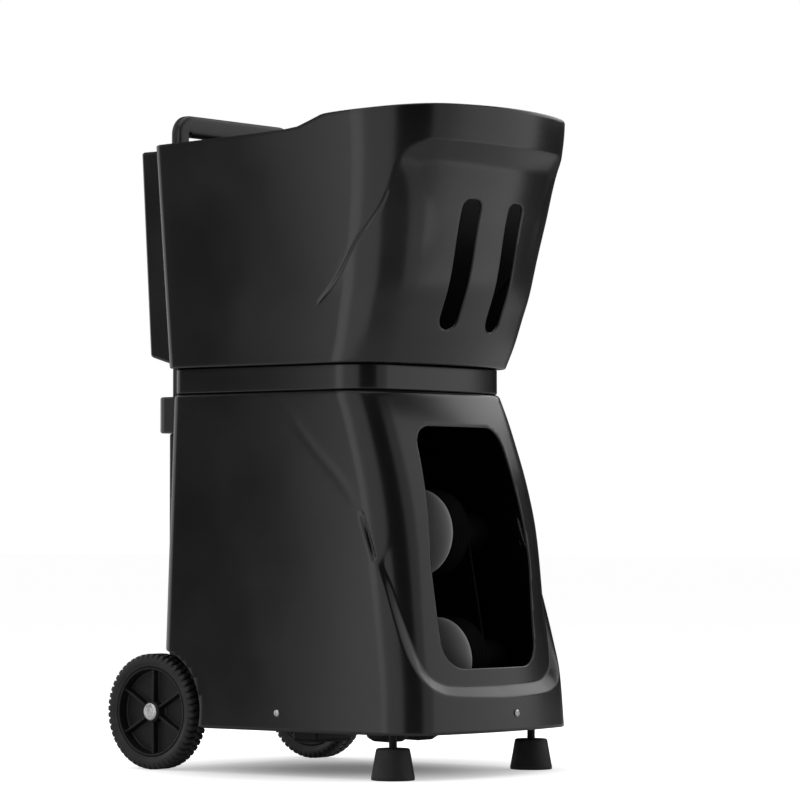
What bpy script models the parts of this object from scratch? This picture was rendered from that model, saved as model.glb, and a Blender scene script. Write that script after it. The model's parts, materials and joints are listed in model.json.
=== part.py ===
"""Tennis ball machine: a wheeled ball launcher with a hopper above a base shell.

Metres, +Z up. The front, where the balls leave, faces -Y. The origin is on the floor,
at the middle of the overall box. Left is -X, as seen by someone standing behind it.
"""

import math

import bmesh
import bpy
from mathutils import Matrix, Vector

# Overall
WALL = 0.003              # moulded wall of every shell
GAP = 0.0003              # clearance between two touching pieces
REACH = 0.228             # front of the rim and back of the tyres, from the middle
BACK_WALL = 0.154         # y of the flat back of base, neck and hopper
MOUNT_FACE = BACK_WALL + 0.0005    # front of what is fixed to that flat back

# Base shell: height, half width and front reach
BASE_BOTTOM, BASE_TOP = 0.048, 0.412
BASE_HALF_WIDTH_BOTTOM, BASE_HALF_WIDTH_TOP = 0.147, 0.130
BASE_FRONT = [(0.048, 0.2145), (0.098, 0.211), (0.142, 0.2045), (0.186, 0.197), (0.230, 0.189),
              (0.274, 0.180), (0.318, 0.169), (0.362, 0.1545), (0.384, 0.1465), (0.412, 0.1345)]
BASE_CORNER, BASE_FRONT_ARC, BASE_REAR_CORNER = 0.045, 0.55, 0.014
BASE_SHOULDER = 0.004     # rounding of the base's top edge

# Hopper shell
HOPPER_BOTTOM, HOPPER_RIM = 0.4406, 0.713
HOPPER_HALF_WIDTH_BOTTOM, HOPPER_HALF_WIDTH_RIM = 0.137, 0.1625
HOPPER_FRONT = [(0.4406, 0.148), (0.467, 0.1606), (0.500, 0.1729), (0.533, 0.186), (0.566, 0.1975),
                (0.600, 0.2075), (0.640, 0.2175), (0.670, 0.2235), (0.700, 0.2275), (0.713, REACH)]
HOPPER_CORNER_BOTTOM, HOPPER_CORNER_RIM = 0.055, 0.092
HOPPER_FRONT_ARC, HOPPER_REAR_CORNER = 0.35, 0.0125
HOPPER_FLANGE = 0.010     # turned-in lower edge
# Height of the rim against y, low at the back with a step up halfway along the side
RIM_HEIGHT = [(-REACH, 0.713), (-0.150, 0.7065), (-0.094, 0.704), (-0.047, 0.6915), (0.010, 0.689),
              (BACK_WALL, 0.685)]

# Recess of the hopper's front panel: edge as (distance round the outline, height), depth, slope
PANEL_EDGE = [(0.0, 0.672), (0.105, 0.673), (0.131, 0.669), (0.145, 0.660), (0.151, 0.648),
              (0.155, 0.627), (0.159, 0.608), (0.167, 0.591), (0.180, 0.567), (0.189, 0.543),
              (0.198, 0.522), (0.210, 0.504)]
PANEL_DEPTH, PANEL_FADE_FROM, PANEL_FADE_TO = 0.0095, 0.505, 0.600
PANEL_SLOPE, PANEL_SPREAD = 0.020, 0.060        # the slope's width, and how much wider it gets
PANEL_SPREAD_FROM, PANEL_SPREAD_TO = 0.640, 0.560
# Recess round the launch window of the base
SCOOP_EDGE = [(0.0, 0.084), (0.072, 0.086), (0.100, 0.091), (0.120, 0.103), (0.132, 0.121),
              (0.139, 0.142), (0.143, 0.169), (0.150, 0.198), (0.156, 0.232), (0.163, 0.279)]
SCOOP_DEPTH, SCOOP_SLOPE, SCOOP_FADE_FROM, SCOOP_FADE_TO = 0.009, 0.016, 0.290, 0.130

# Openings
WINDOW_SIDE = [(0.080, 0.116), (0.087, 0.230), (0.073, 0.374)]    # its right side, going up
WINDOW_RADII = [0.030, 0.120, 0.025]
SLOT_X, SLOT_WIDTH, SLOT_BOTTOM, SLOT_TOP = 0.0385, 0.028, 0.477, 0.6145

# Neck ring and feed deck
NECK_HALF_WIDTH, NECK_FRONT, NECK_WALL = 0.1285, 0.1330, 0.004
DECK_BOTTOM, DECK_THICK = 0.4150, 0.003
BALL = 0.067
ROTOR_Y, ROTOR_RADIUS, ROTOR_HEIGHT, POCKETS = 0.0275, 0.1085, 0.030, 5
POCKET_CIRCLE = 0.072     # radius from the rotor's axis to a ball in its pocket
POCKET_RADIUS = 0.036
FUNNEL_RADIUS, FUNNEL_TOP = 0.1125, 0.478
CHUTE_END_Y, CHUTE_END_Z = -0.010, 0.300

# Launcher
LAUNCH_Y, LAUNCH_Z, LAUNCH_ANGLE = -0.119, 0.191, math.radians(10.7)
LAUNCH_SPREAD = 0.0702    # from the ball's line to each wheel's axis
LAUNCH_RADIUS, LAUNCH_HALF_WIDTH = 0.0475, 0.015
TILT_BACK = 0.075         # tilt axis, behind the middle of the two wheels
YAW_Y, TURNTABLE_RADIUS = -0.045, 0.055
PLATE_X, PLATE_THICK = 0.038, 0.003
MOTOR_RADIUS, MOTOR_LENGTH = 0.021, 0.044
ARM_X, ARM_THICK = 0.0435, 0.004
PIN_RADIUS = 0.004

# Tray and what stands on it
TRAY_BOTTOM, TRAY_TOP = 0.0515, 0.0555
SUMP_HALF_WIDTH, SUMP_FRONT, SUMP_BACK, SUMP_BOTTOM = 0.033, 0.0245, 0.059, 0.029

# Wheels
TYRE_RADIUS, TYRE_HALF_WIDTH, WHEEL_X = 0.0635, 0.014, 0.137
AXLE_Y, AXLE_Z, AXLE_RADIUS, AXLE_END_RADIUS = REACH - TYRE_RADIUS, TYRE_RADIUS, 0.005, 0.0042
ARCH_RADIUS, ARCH_X = 0.069, 0.118
RIBS = 6
BRACKET_INNER, BRACKET_OUTER, BRACKET_BACK, BRACKET_TOP = 0.059, 0.121, 0.180, 0.0755

# Feet
FOOT_X, FOOT_Y, FOOT_HEIGHT = 0.1216, -0.1553, 0.0335
STEM_RADIUS, STEM_TOP = 0.0045, 0.078

# Handle
HANDLE_X, HANDLE_Y, GRIP_TOP = 0.0896, 0.1745, 0.726
LEG_WIDTH, LEG_DEPTH, GRIP_BAR = 0.018, 0.014, 0.024
TUBE_WIDTH, TUBE_DEPTH, TUBE_BOTTOM, TUBE_TOP = 0.014, 0.010, 0.105, 0.6597
SLEEVE_WIDTH, SLEEVE_DEPTH, SLEEVE_BOTTOM, SLEEVE_TOP = 0.019, 0.015, 0.090, 0.3700
CLAMP_HALF_WIDTH, CLAMP_BACK = 0.110, 0.1925
FOOT_BAR_HALF_WIDTH, FOOT_BAR_BACK, FOOT_BAR_BOTTOM = 0.106, 0.184, 0.0780

# Rear box
BOX_HALF_WIDTH, BOX_TOP, BOX_BOTTOM_FRONT, BOX_BOTTOM_REAR = 0.120, 0.684, 0.444, 0.455
BOX_DEPTH_TOP, BOX_DEPTH_BOTTOM = 0.206, 0.192
PANEL_Z = 0.600

SCREW_Z, SCREW_SIDE_Y, SCREW_FRONT_X = 0.067, -0.016, 0.018

for old in list(bpy.data.objects):
    bpy.data.objects.remove(old)

machine = bpy.data.collections.new("tennis_ball_machine")
cutters = bpy.data.collections.new("cutters")
cutters.hide_render = True
bpy.context.scene.collection.children.link(machine)
bpy.context.scene.collection.children.link(cutters)


# ---------------------------------------------------------------- materials

def material(name, colour, roughness, metallic=0.0):
    """A Principled BSDF material with one colour."""
    made = bpy.data.materials.new(name)
    made.use_nodes = True
    shader = made.node_tree.nodes["Principled BSDF"]
    shader.inputs["Base Color"].default_value = (*colour, 1.0)
    shader.inputs["Roughness"].default_value = roughness
    shader.inputs["Metallic"].default_value = metallic
    return made


SHELL = material("shell_plastic", (0.022, 0.022, 0.024), 0.42)
TRIM = material("trim_plastic", (0.016, 0.016, 0.018), 0.50)
INNER = material("inner_plastic", (0.035, 0.036, 0.038), 0.55)
RUBBER = material("rubber", (0.012, 0.012, 0.012), 0.80)
STEEL = material("steel", (0.62, 0.62, 0.63), 0.30, 1.0)
DARK_METAL = material("dark_metal", (0.05, 0.05, 0.055), 0.45, 0.8)
BOARD = material("board", (0.02, 0.12, 0.05), 0.50)
LENS = material("lens", (0.05, 0.45, 0.12), 0.15)


# ---------------------------------------------------------------- shape helpers

def place(name, mesh, look=None):
    """Puts a mesh in the scene, as a part or, with no look, as a cutter."""
    obj = bpy.data.objects.new(name, mesh)
    if look is None:
        cutters.objects.link(obj)
        obj.hide_render = True
        obj.display_type = "WIRE"
    else:
        machine.objects.link(obj)
        mesh.materials.append(look)
    return obj


def from_bmesh(name, bm, look, smooth_angle=None):
    """Ends a bmesh as an object, its faces pointing out."""
    bmesh.ops.recalc_face_normals(bm, faces=bm.faces)
    mesh = bpy.data.meshes.new(name)
    bm.to_mesh(mesh)
    bm.free()
    if smooth_angle is not None:
        mesh.shade_smooth()
        mesh.set_sharp_from_angle(angle=math.radians(smooth_angle))
    return place(name, mesh, look)


def bevel(obj, width, segments=2):
    """Rounds the sharp edges of an object."""
    made = obj.modifiers.new("Bevel", "BEVEL")
    made.width = width
    made.segments = segments
    made.limit_method = "ANGLE"
    made.angle_limit = math.radians(50)


def combine(obj, tool, operation="DIFFERENCE"):
    """Cuts the tool out of an object, or joins it on."""
    made = obj.modifiers.new("Boolean", "BOOLEAN")
    made.operation = operation
    made.object = tool


def box(name, low, high, look=None, edge=0.0):
    """A box between two corners."""
    bm = bmesh.new()
    bmesh.ops.create_cube(bm, size=1.0)
    size = [b - a for a, b in zip(low, high)]
    middle = [(a + b) / 2 for a, b in zip(low, high)]
    bmesh.ops.scale(bm, vec=size, verts=bm.verts)
    bmesh.ops.translate(bm, vec=middle, verts=bm.verts)
    made = from_bmesh(name, bm, look)
    if edge:
        bevel(made, edge)
    return made


AXIS_TURN = {
    "X": Matrix.Rotation(math.pi / 2, 4, "Y"),
    "-X": Matrix.Rotation(-math.pi / 2, 4, "Y"),
    "Y": Matrix.Rotation(-math.pi / 2, 4, "X"),
    "-Y": Matrix.Rotation(math.pi / 2, 4, "X"),
    "Z": Matrix.Identity(4),
}


def cylinder(name, radius, start, end, centre, axis="Z", look=None, sides=32, top_radius=None):
    """A cylinder or cone along an axis, from start to end on that axis, through the centre."""
    bm = bmesh.new()
    bmesh.ops.create_cone(bm, cap_ends=True, segments=sides, radius1=radius,
                          radius2=radius if top_radius is None else top_radius, depth=end - start)
    bmesh.ops.translate(bm, vec=(0, 0, (start + end) / 2), verts=bm.verts)
    bmesh.ops.transform(bm, matrix=Matrix.Translation(centre) @ AXIS_TURN[axis], verts=bm.verts)
    return from_bmesh(name, bm, look, 40)


def prism(name, outline, plane, start, end, look=None, edge=0.0):
    """A flat outline in the XY, XZ or YZ plane, pulled along the third axis."""
    spots = {"XY": lambda a, b: (a, b, start), "XZ": lambda a, b: (a, start, b),
             "YZ": lambda a, b: (start, a, b)}
    pull = {"XY": (0, 0, end - start), "XZ": (0, end - start, 0), "YZ": (end - start, 0, 0)}
    bm = bmesh.new()
    face = bm.faces.new([bm.verts.new(spots[plane](a, b)) for a, b in outline])
    pulled = bmesh.ops.extrude_face_region(bm, geom=[face])["geom"]
    moved = [item for item in pulled if isinstance(item, bmesh.types.BMVert)]
    bmesh.ops.translate(bm, vec=pull[plane], verts=moved)
    made = from_bmesh(name, bm, look)
    if edge:
        bevel(made, edge)
    return made


def rounded(corners, radii, steps=5):
    """An outline with its corners turned into arcs."""
    points = []
    for i, corner in enumerate(corners):
        here = Vector(corner)
        before = (Vector(corners[i - 1]) - here).normalized()
        after = (Vector(corners[(i + 1) % len(corners)]) - here).normalized()
        half = before.angle(after) / 2
        centre = here + (before + after).normalized() * (radii[i] / math.sin(half))
        first = here + before * (radii[i] / math.tan(half)) - centre
        last = here + after * (radii[i] / math.tan(half)) - centre
        for k in range(steps + 1):
            spoke = first.lerp(last, k / steps).normalized() * radii[i]
            points.append(tuple(centre + spoke))
    return points


def turned(name, profile, look, axis="Z", centre=(0, 0, 0), steps=32, ring=False):
    """A turned solid. The profile is (radius, height), down its outer side."""
    count = len(profile)
    edges = [(i, i + 1) for i in range(count - 1)]
    if ring:
        edges.append((count - 1, 0))
    mesh = bpy.data.meshes.new(name)
    mesh.from_pydata([(r, 0, h) for r, h in profile], edges, [])
    made = place(name, mesh, look)
    made.matrix_world = Matrix.Translation(centre) @ AXIS_TURN[axis]
    screw = made.modifiers.new("Turn", "SCREW")
    screw.steps = screw.render_steps = steps
    screw.use_merge_vertices = True
    screw.merge_threshold = 0.00001
    screw.use_smooth_shade = True
    return made


def skin(rings, closed=False):
    """Faces between rings of equal count; closed joins the last ring to the first."""
    bm = bmesh.new()
    rows = [[bm.verts.new(point) for point in ring] for ring in rings]
    count = len(rows[0])
    for low, high in zip(rows, rows[1:] + rows[:closed]):
        for i in range(count):
            j = (i + 1) % count
            bm.faces.new((low[i], low[j], high[j], high[i]))
    return bm


def loft(name, rings, look, wall=WALL, outward=False):
    """An open shell through rings, given a wall thickness."""
    bm = skin(rings)
    mesh = bpy.data.meshes.new(name)
    bm.to_mesh(mesh)
    bm.free()
    mesh.shade_smooth()
    made = place(name, mesh, look)
    thick = made.modifiers.new("Wall", "SOLIDIFY")
    thick.thickness = wall
    thick.offset = 1.0 if outward else -1.0
    thick.use_even_offset = True
    return made


def pivot(obj, point):
    """Moves an object's origin to a point, such as one on its joint's axis."""
    obj.data.transform(Matrix.Translation(-Vector(point)))
    obj.location = point
    return obj


def empty(name, point, parent=None):
    """A joint's own frame, which the pieces that move with it hang from."""
    made = bpy.data.objects.new(name, None)
    machine.objects.link(made)
    made.empty_display_size = 0.02
    made.location = point
    if parent:
        hang(made, parent)
    return made


def hang(obj, parent):
    """Parents an object, leaving it where it is."""
    obj.parent = parent
    obj.matrix_parent_inverse = Matrix.Translation(-Vector(parent["spot"]))


# ---------------------------------------------------------------- body outlines

def smooth(t):
    t = min(max(t, 0.0), 1.0)
    return t * t * (3 - 2 * t)


def along(table, x):
    """A smooth curve through the points of a table (x, value), by monotone slopes."""
    if x <= table[0][0]:
        return table[0][1]
    if x >= table[-1][0]:
        return table[-1][1]
    slopes = [(b[1] - a[1]) / (b[0] - a[0]) for a, b in zip(table, table[1:])]
    i = max(k for k in range(len(table) - 1) if table[k][0] <= x)
    ends = []
    for k in (i, i + 1):
        if k == 0 or k == len(table) - 1:
            ends.append(slopes[min(k, len(slopes) - 1)])
        elif slopes[k - 1] * slopes[k] <= 0:
            ends.append(0.0)
        else:
            ends.append(2 * slopes[k - 1] * slopes[k] / (slopes[k - 1] + slopes[k]))
    (x0, y0), (x1, y1) = table[i], table[i + 1]
    span = x1 - x0
    t = (x - x0) / span
    return ((2 * t ** 3 - 3 * t ** 2 + 1) * y0 + (t ** 3 - 2 * t ** 2 + t) * span * ends[0]
            + (3 * t ** 2 - 2 * t ** 3) * y1 + (t ** 3 - t ** 2) * span * ends[1])


def half_outline(width, front, corner, front_arc, rear_corner, counts, rear=BACK_WALL):
    """Half a body section, front middle to rear middle: (x, y, nx, ny, distance round)."""
    arc_y = front_arc - front
    turn = math.asin((width - corner) / (front_arc - corner))
    corner_y = arc_y - (front_arc - corner) * math.cos(turn)
    on_front, on_corner, on_side, on_rear_corner, on_rear = counts
    points = []
    for k in range(on_front):
        a = turn * k / on_front
        points.append((front_arc * math.sin(a), arc_y - front_arc * math.cos(a),
                       math.sin(a), -math.cos(a)))
    for k in range(on_corner):
        a = turn + (math.pi / 2 - turn) * k / on_corner
        points.append((width - corner + corner * math.sin(a), corner_y - corner * math.cos(a),
                       math.sin(a), -math.cos(a)))
    for k in range(on_side):
        points.append((width, corner_y + (rear - rear_corner - corner_y) * k / on_side, 1.0, 0.0))
    for k in range(on_rear_corner):
        a = math.pi / 2 * k / on_rear_corner
        points.append((width - rear_corner + rear_corner * math.cos(a),
                       rear - rear_corner + rear_corner * math.sin(a), math.cos(a), math.sin(a)))
    for k in range(on_rear + 1):
        points.append(((width - rear_corner) * (1 - k / on_rear), rear, 0.0, 1.0))
    run = 0.0
    made = []
    for i, point in enumerate(points):
        if i:
            run += math.dist(point[:2], points[i - 1][:2])
        made.append((*point, run))
    return made


def whole(half):
    """Both halves of an outline, counter-clockwise seen from above, from the front middle."""
    return half + [(-x, *rest) for x, *rest in half[-2:0:-1]]


def edge_distance(edge, s, z):
    """Distance from an edge line, positive on the side towards the front middle."""
    best = None
    for (s0, z0), (s1, z1) in zip(edge, edge[1:]):
        ds, dz = s1 - s0, z1 - z0
        t = min(max(((s - s0) * ds + (z - z0) * dz) / (ds * ds + dz * dz), 0.0), 1.0)
        off_s, off_z = s - s0 - t * ds, z - z0 - t * dz
        distance = math.hypot(off_s, off_z)
        if best is None or distance < best[0]:
            best = (distance, off_s * dz - off_z * ds)
    return math.copysign(best[0], best[1])


def base_section(z, inset=0.0, counts=(5, 4, 5, 3, 2)):
    part_up = (z - BASE_BOTTOM) / (BASE_TOP - BASE_BOTTOM)
    width = BASE_HALF_WIDTH_BOTTOM + (BASE_HALF_WIDTH_TOP - BASE_HALF_WIDTH_BOTTOM) * part_up
    return half_outline(width - inset, along(BASE_FRONT, z) - inset, BASE_CORNER - inset,
                        BASE_FRONT_ARC - inset, BASE_REAR_CORNER - inset, counts,
                        BACK_WALL - inset)


def hopper_section(z, inset=0.0, counts=(6, 5, 6, 3, 2)):
    part_up = (z - HOPPER_BOTTOM) / (HOPPER_RIM - HOPPER_BOTTOM)
    width = (HOPPER_HALF_WIDTH_BOTTOM
             + (HOPPER_HALF_WIDTH_RIM - HOPPER_HALF_WIDTH_BOTTOM) * min(part_up, 1.0))
    corner = HOPPER_CORNER_BOTTOM + (HOPPER_CORNER_RIM - HOPPER_CORNER_BOTTOM) * part_up
    return half_outline(width - inset, along(HOPPER_FRONT, z) - inset, corner - inset,
                        HOPPER_FRONT_ARC - inset, HOPPER_REAR_CORNER - inset, counts,
                        BACK_WALL - inset)


def scoop_depth(s, z):
    """How far the base's front is pressed in round the launch window."""
    inside = -edge_distance(SCOOP_EDGE, s, z) if z < SCOOP_EDGE[-1][1] else SCOOP_EDGE[-1][0] - s
    fade = smooth((SCOOP_FADE_FROM - z) / (SCOOP_FADE_FROM - SCOOP_FADE_TO))
    return SCOOP_DEPTH * fade * smooth(inside / SCOOP_SLOPE)


def panel_depth(s, z):
    """How far the hopper's front panel is pressed in."""
    if z < PANEL_EDGE[-1][1] or z > PANEL_EDGE[0][1]:
        return 0.0
    inside = edge_distance(PANEL_EDGE, s, z)
    part_up = smooth((z - PANEL_FADE_FROM) / (PANEL_FADE_TO - PANEL_FADE_FROM))
    part_down = smooth((PANEL_SPREAD_FROM - z) / (PANEL_SPREAD_FROM - PANEL_SPREAD_TO))
    slope = PANEL_SLOPE + PANEL_SPREAD * part_down
    return PANEL_DEPTH * part_up * smooth(inside / slope)


def ring_of(half, height, depth=None):
    """A closed ring of 3-D points from half a section; depth presses it inwards."""
    ring = []
    for x, y, nx, ny, s in whole(half):
        z = height(x, y) if callable(height) else height
        press = depth(s, z) if depth else 0.0
        ring.append((x - nx * press, y - ny * press, z))
    return ring


# ---------------------------------------------------------------- base

def build_base():
    rows = [0.048, 0.084, 0.104, 0.142, 0.186, 0.235, 0.285, 0.335, 0.368, 0.390,
            BASE_TOP - BASE_SHOULDER]
    rings = [ring_of(base_section(z), z, scoop_depth) for z in rows]
    rings.append(ring_of(base_section(BASE_TOP - BASE_SHOULDER / 4, 0.001),
                         BASE_TOP - BASE_SHOULDER / 4))
    rings.append(ring_of(base_section(BASE_TOP, 0.003), BASE_TOP))
    rings.append(ring_of(base_section(BASE_TOP, 0.012), BASE_TOP))
    shell = loft("base_shell", rings, SHELL)

    window = rounded(WINDOW_SIDE + [(-x, z) for x, z in WINDOW_SIDE[::-1]],
                     WINDOW_RADII + WINDOW_RADII[::-1], 6)
    combine(shell, prism("window_cutter", window, "XZ", -0.26, -0.10))
    for side in (-1, 1):
        combine(shell, cylinder(f"arch_cutter_{side}", ARCH_RADIUS, ARCH_X, 0.160,
                                (0, AXLE_Y, AXLE_Z), "X" if side > 0 else "-X", sides=48))
        combine(shell, cylinder(f"screw_hole_{side}", 0.0022, 0.130, 0.160,
                                (0, SCREW_SIDE_Y, SCREW_Z), "X" if side > 0 else "-X", sides=12))
    combine(shell, cylinder("front_screw_hole", 0.0022, 0.19, 0.23,
                            (SCREW_FRONT_X, 0, SCREW_Z), "-Y", sides=12))
    return shell


def build_tray():
    """The floor of the base, with two round bosses and a sump under it, and the wheel wells."""
    outline = [(x, y) for x, y, *_ in whole(base_section(TRAY_BOTTOM, WALL + 0.0008))]
    tray = prism("base_tray", outline, "XY", TRAY_BOTTOM, TRAY_TOP, INNER)
    combine(tray, box("sump", (-SUMP_HALF_WIDTH, SUMP_FRONT, SUMP_BOTTOM),
                      (SUMP_HALF_WIDTH, SUMP_BACK, TRAY_TOP - 0.001), edge=0.004), "UNION")
    for side in (-1, 1):
        combine(tray, cylinder(f"tray_arch_{side}", ARCH_RADIUS + 0.0035, 0.1145, 0.160,
                               (0, AXLE_Y, AXLE_Z), "X" if side > 0 else "-X", sides=48))
        combine(tray, cylinder(f"tray_stem_hole_{side}", STEM_RADIUS + 0.0005, 0.04, 0.07,
                               (side * FOOT_X, FOOT_Y, 0), sides=16))
        bump = turned(f"tray_bump_{side}", [(0, TRAY_TOP - 0.001), (0.0245, TRAY_TOP - 0.001),
                                            (0.0250, 0.044), (0.0225, 0.0380), (0.016, 0.0340),
                                            (0, 0.0325)], None, centre=(side * 0.026, -0.072, 0),
                      steps=16)
        combine(tray, bump, "UNION")
        well = cylinder(f"wheel_well_{'left' if side < 0 else 'right'}", ARCH_RADIUS + 0.0025,
                        0.1155, 0.1432, (0, AXLE_Y, AXLE_Z), "X" if side > 0 else "-X", INNER, 48)
        combine(well, cylinder(f"well_hollow_{side}", ARCH_RADIUS, 0.1175, 0.160,
                               (0, AXLE_Y, AXLE_Z), "X" if side > 0 else "-X", sides=48))
        space = [(x, y) for x, y, *_ in whole(base_section(0.136, WALL + 0.0008))]
        combine(well, prism(f"well_space_{side}", space, "XY", TRAY_BOTTOM, 0.20), "INTERSECT")


def build_neck():
    def neck(inset):
        return half_outline(NECK_HALF_WIDTH - inset, NECK_FRONT - inset, BASE_CORNER - inset,
                            BASE_FRONT_ARC - inset, BASE_REAR_CORNER - inset, (5, 4, 2, 3, 1),
                            BACK_WALL - 0.0015 - inset)

    low, high = BASE_TOP + GAP, HOPPER_BOTTOM - GAP
    rings = [ring_of(neck(0), z) for z in (low, high)]
    loft("neck_ring", rings, SHELL, NECK_WALL)

    deck_outline = [(x, y) for x, y, *_ in whole(neck(NECK_WALL + 0.0012))]
    deck = prism("feed_deck", deck_outline, "XY", DECK_BOTTOM, DECK_BOTTOM + DECK_THICK, INNER)
    hole_y = ROTOR_Y - POCKET_CIRCLE
    combine(deck, cylinder("drop_hole", 0.0355, 0.40, 0.43, (0, hole_y, 0), sides=28))
    combine(deck, cylinder("shaft_hole", 0.0055, 0.40, 0.43, (0, ROTOR_Y, 0), sides=16))


# ---------------------------------------------------------------- hopper and feed

def rim_height(x, y):
    return along(RIM_HEIGHT, y)


def build_hopper():
    steps = [0.0, 0.12, 0.25, 0.38, 0.50, 0.60, 0.69, 0.775, 0.855, 0.93, 1.0]
    rings = [ring_of(hopper_section(HOPPER_BOTTOM, HOPPER_FLANGE), HOPPER_BOTTOM)]
    for step in steps:
        rows = []
        for i, (x, y, *_) in enumerate(whole(hopper_section(HOPPER_RIM))):
            z = HOPPER_BOTTOM + (rim_height(x, y) - HOPPER_BOTTOM) * step
            px, py, nx, ny, s = whole(hopper_section(z))[i]
            press = panel_depth(s, z)
            rows.append((px - nx * press, py - ny * press, z))
        rings.append(rows)
    shell = loft("hopper_shell", rings, SHELL)
    for side in (-1, 1):
        low, high = side * SLOT_X - SLOT_WIDTH / 2, side * SLOT_X + SLOT_WIDTH / 2
        outline = rounded([(low, SLOT_BOTTOM), (high, SLOT_BOTTOM), (high, SLOT_TOP),
                           (low, SLOT_TOP)], [0.013, 0.013, 0.010, 0.010], 4)
        combine(shell, prism(f"slot_cutter_{side}", outline, "XZ", -0.25, -0.12))


def build_feed():
    """The funnel, the rotor that picks up one ball at a time, its drive and the chute."""
    top = whole(hopper_section(FUNNEL_TOP - 0.009, WALL + 0.0045, (4, 4, 6, 3, 5)))

    def round_ring(radius, z):
        points = []
        for x, y, *_ in top:
            spoke = Vector((x, y - ROTOR_Y)).normalized() * radius
            points.append((spoke.x, ROTOR_Y + spoke.y, z))
        return points

    wall_foot = DECK_BOTTOM + DECK_THICK + GAP
    rings = [round_ring(FUNNEL_RADIUS, wall_foot), round_ring(FUNNEL_RADIUS, 0.4505),
             [(x, y, FUNNEL_TOP - 0.006) for x, y, *_ in top],
             [(x, y, FUNNEL_TOP) for x, y, *_ in top]]
    loft("hopper_funnel", rings, INNER, 0.0025, True)

    low = DECK_BOTTOM + DECK_THICK + 2 * GAP
    rotor = cylinder("feed_rotor", ROTOR_RADIUS, low, low + ROTOR_HEIGHT, (0, ROTOR_Y, 0),
                     look=TRIM, sides=40)
    for k in range(POCKETS):
        turn = 2 * math.pi * k / POCKETS - math.pi / 2
        spot = (POCKET_CIRCLE * math.cos(turn), ROTOR_Y + POCKET_CIRCLE * math.sin(turn), 0)
        combine(rotor, cylinder(f"pocket_{k}", POCKET_RADIUS, 0.40, 0.47, spot, sides=20))
    hub = cylinder("rotor_hub", 0.030, low + ROTOR_HEIGHT - 0.004, low + ROTOR_HEIGHT + 0.020,
                   (0, ROTOR_Y, 0), sides=16, top_radius=0.012)
    combine(rotor, hub, "UNION")
    combine(rotor, cylinder("rotor_bore", PIN_RADIUS + GAP, 0.40, low + 0.025, (0, ROTOR_Y, 0),
                            sides=16))
    pivot(rotor, (0, ROTOR_Y, 0.43))
    shaft = cylinder("rotor_shaft", PIN_RADIUS, DECK_BOTTOM, low + 0.0245, (0, ROTOR_Y, 0),
                     look=STEEL, sides=16)
    pivot(shaft, (0, ROTOR_Y, 0.43))
    turned("feed_motor", [(0, DECK_BOTTOM - GAP), (0.018, DECK_BOTTOM - GAP), (0.018, 0.384),
                          (0.0165, 0.383), (0.0165, 0.368), (0, 0.368)], DARK_METAL,
           centre=(0, ROTOR_Y, 0), steps=24)

    def circle(radius, y, z):
        turns = [2 * math.pi * k / 24 for k in range(24)]
        return [(radius * math.sin(a), y - radius * math.cos(a), z) for a in turns]

    low, high = (CHUTE_END_Y, CHUTE_END_Z), (ROTOR_Y - POCKET_CIRCLE, DECK_BOTTOM - GAP)
    inner, outer = BALL / 2 + 0.0022, BALL / 2 + 0.0044
    tube = skin([circle(outer, *low), circle(outer, *high), circle(inner, *high),
                 circle(inner, *low)], True)
    from_bmesh("feed_chute", tube, INNER, 40)


# ---------------------------------------------------------------- launcher

def launch_spot(forward, up):
    """(y, z) of a point given along and across the ball's line."""
    return (LAUNCH_Y - forward * math.cos(LAUNCH_ANGLE) + up * math.sin(LAUNCH_ANGLE),
            LAUNCH_Z + forward * math.sin(LAUNCH_ANGLE) + up * math.cos(LAUNCH_ANGLE))


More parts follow.
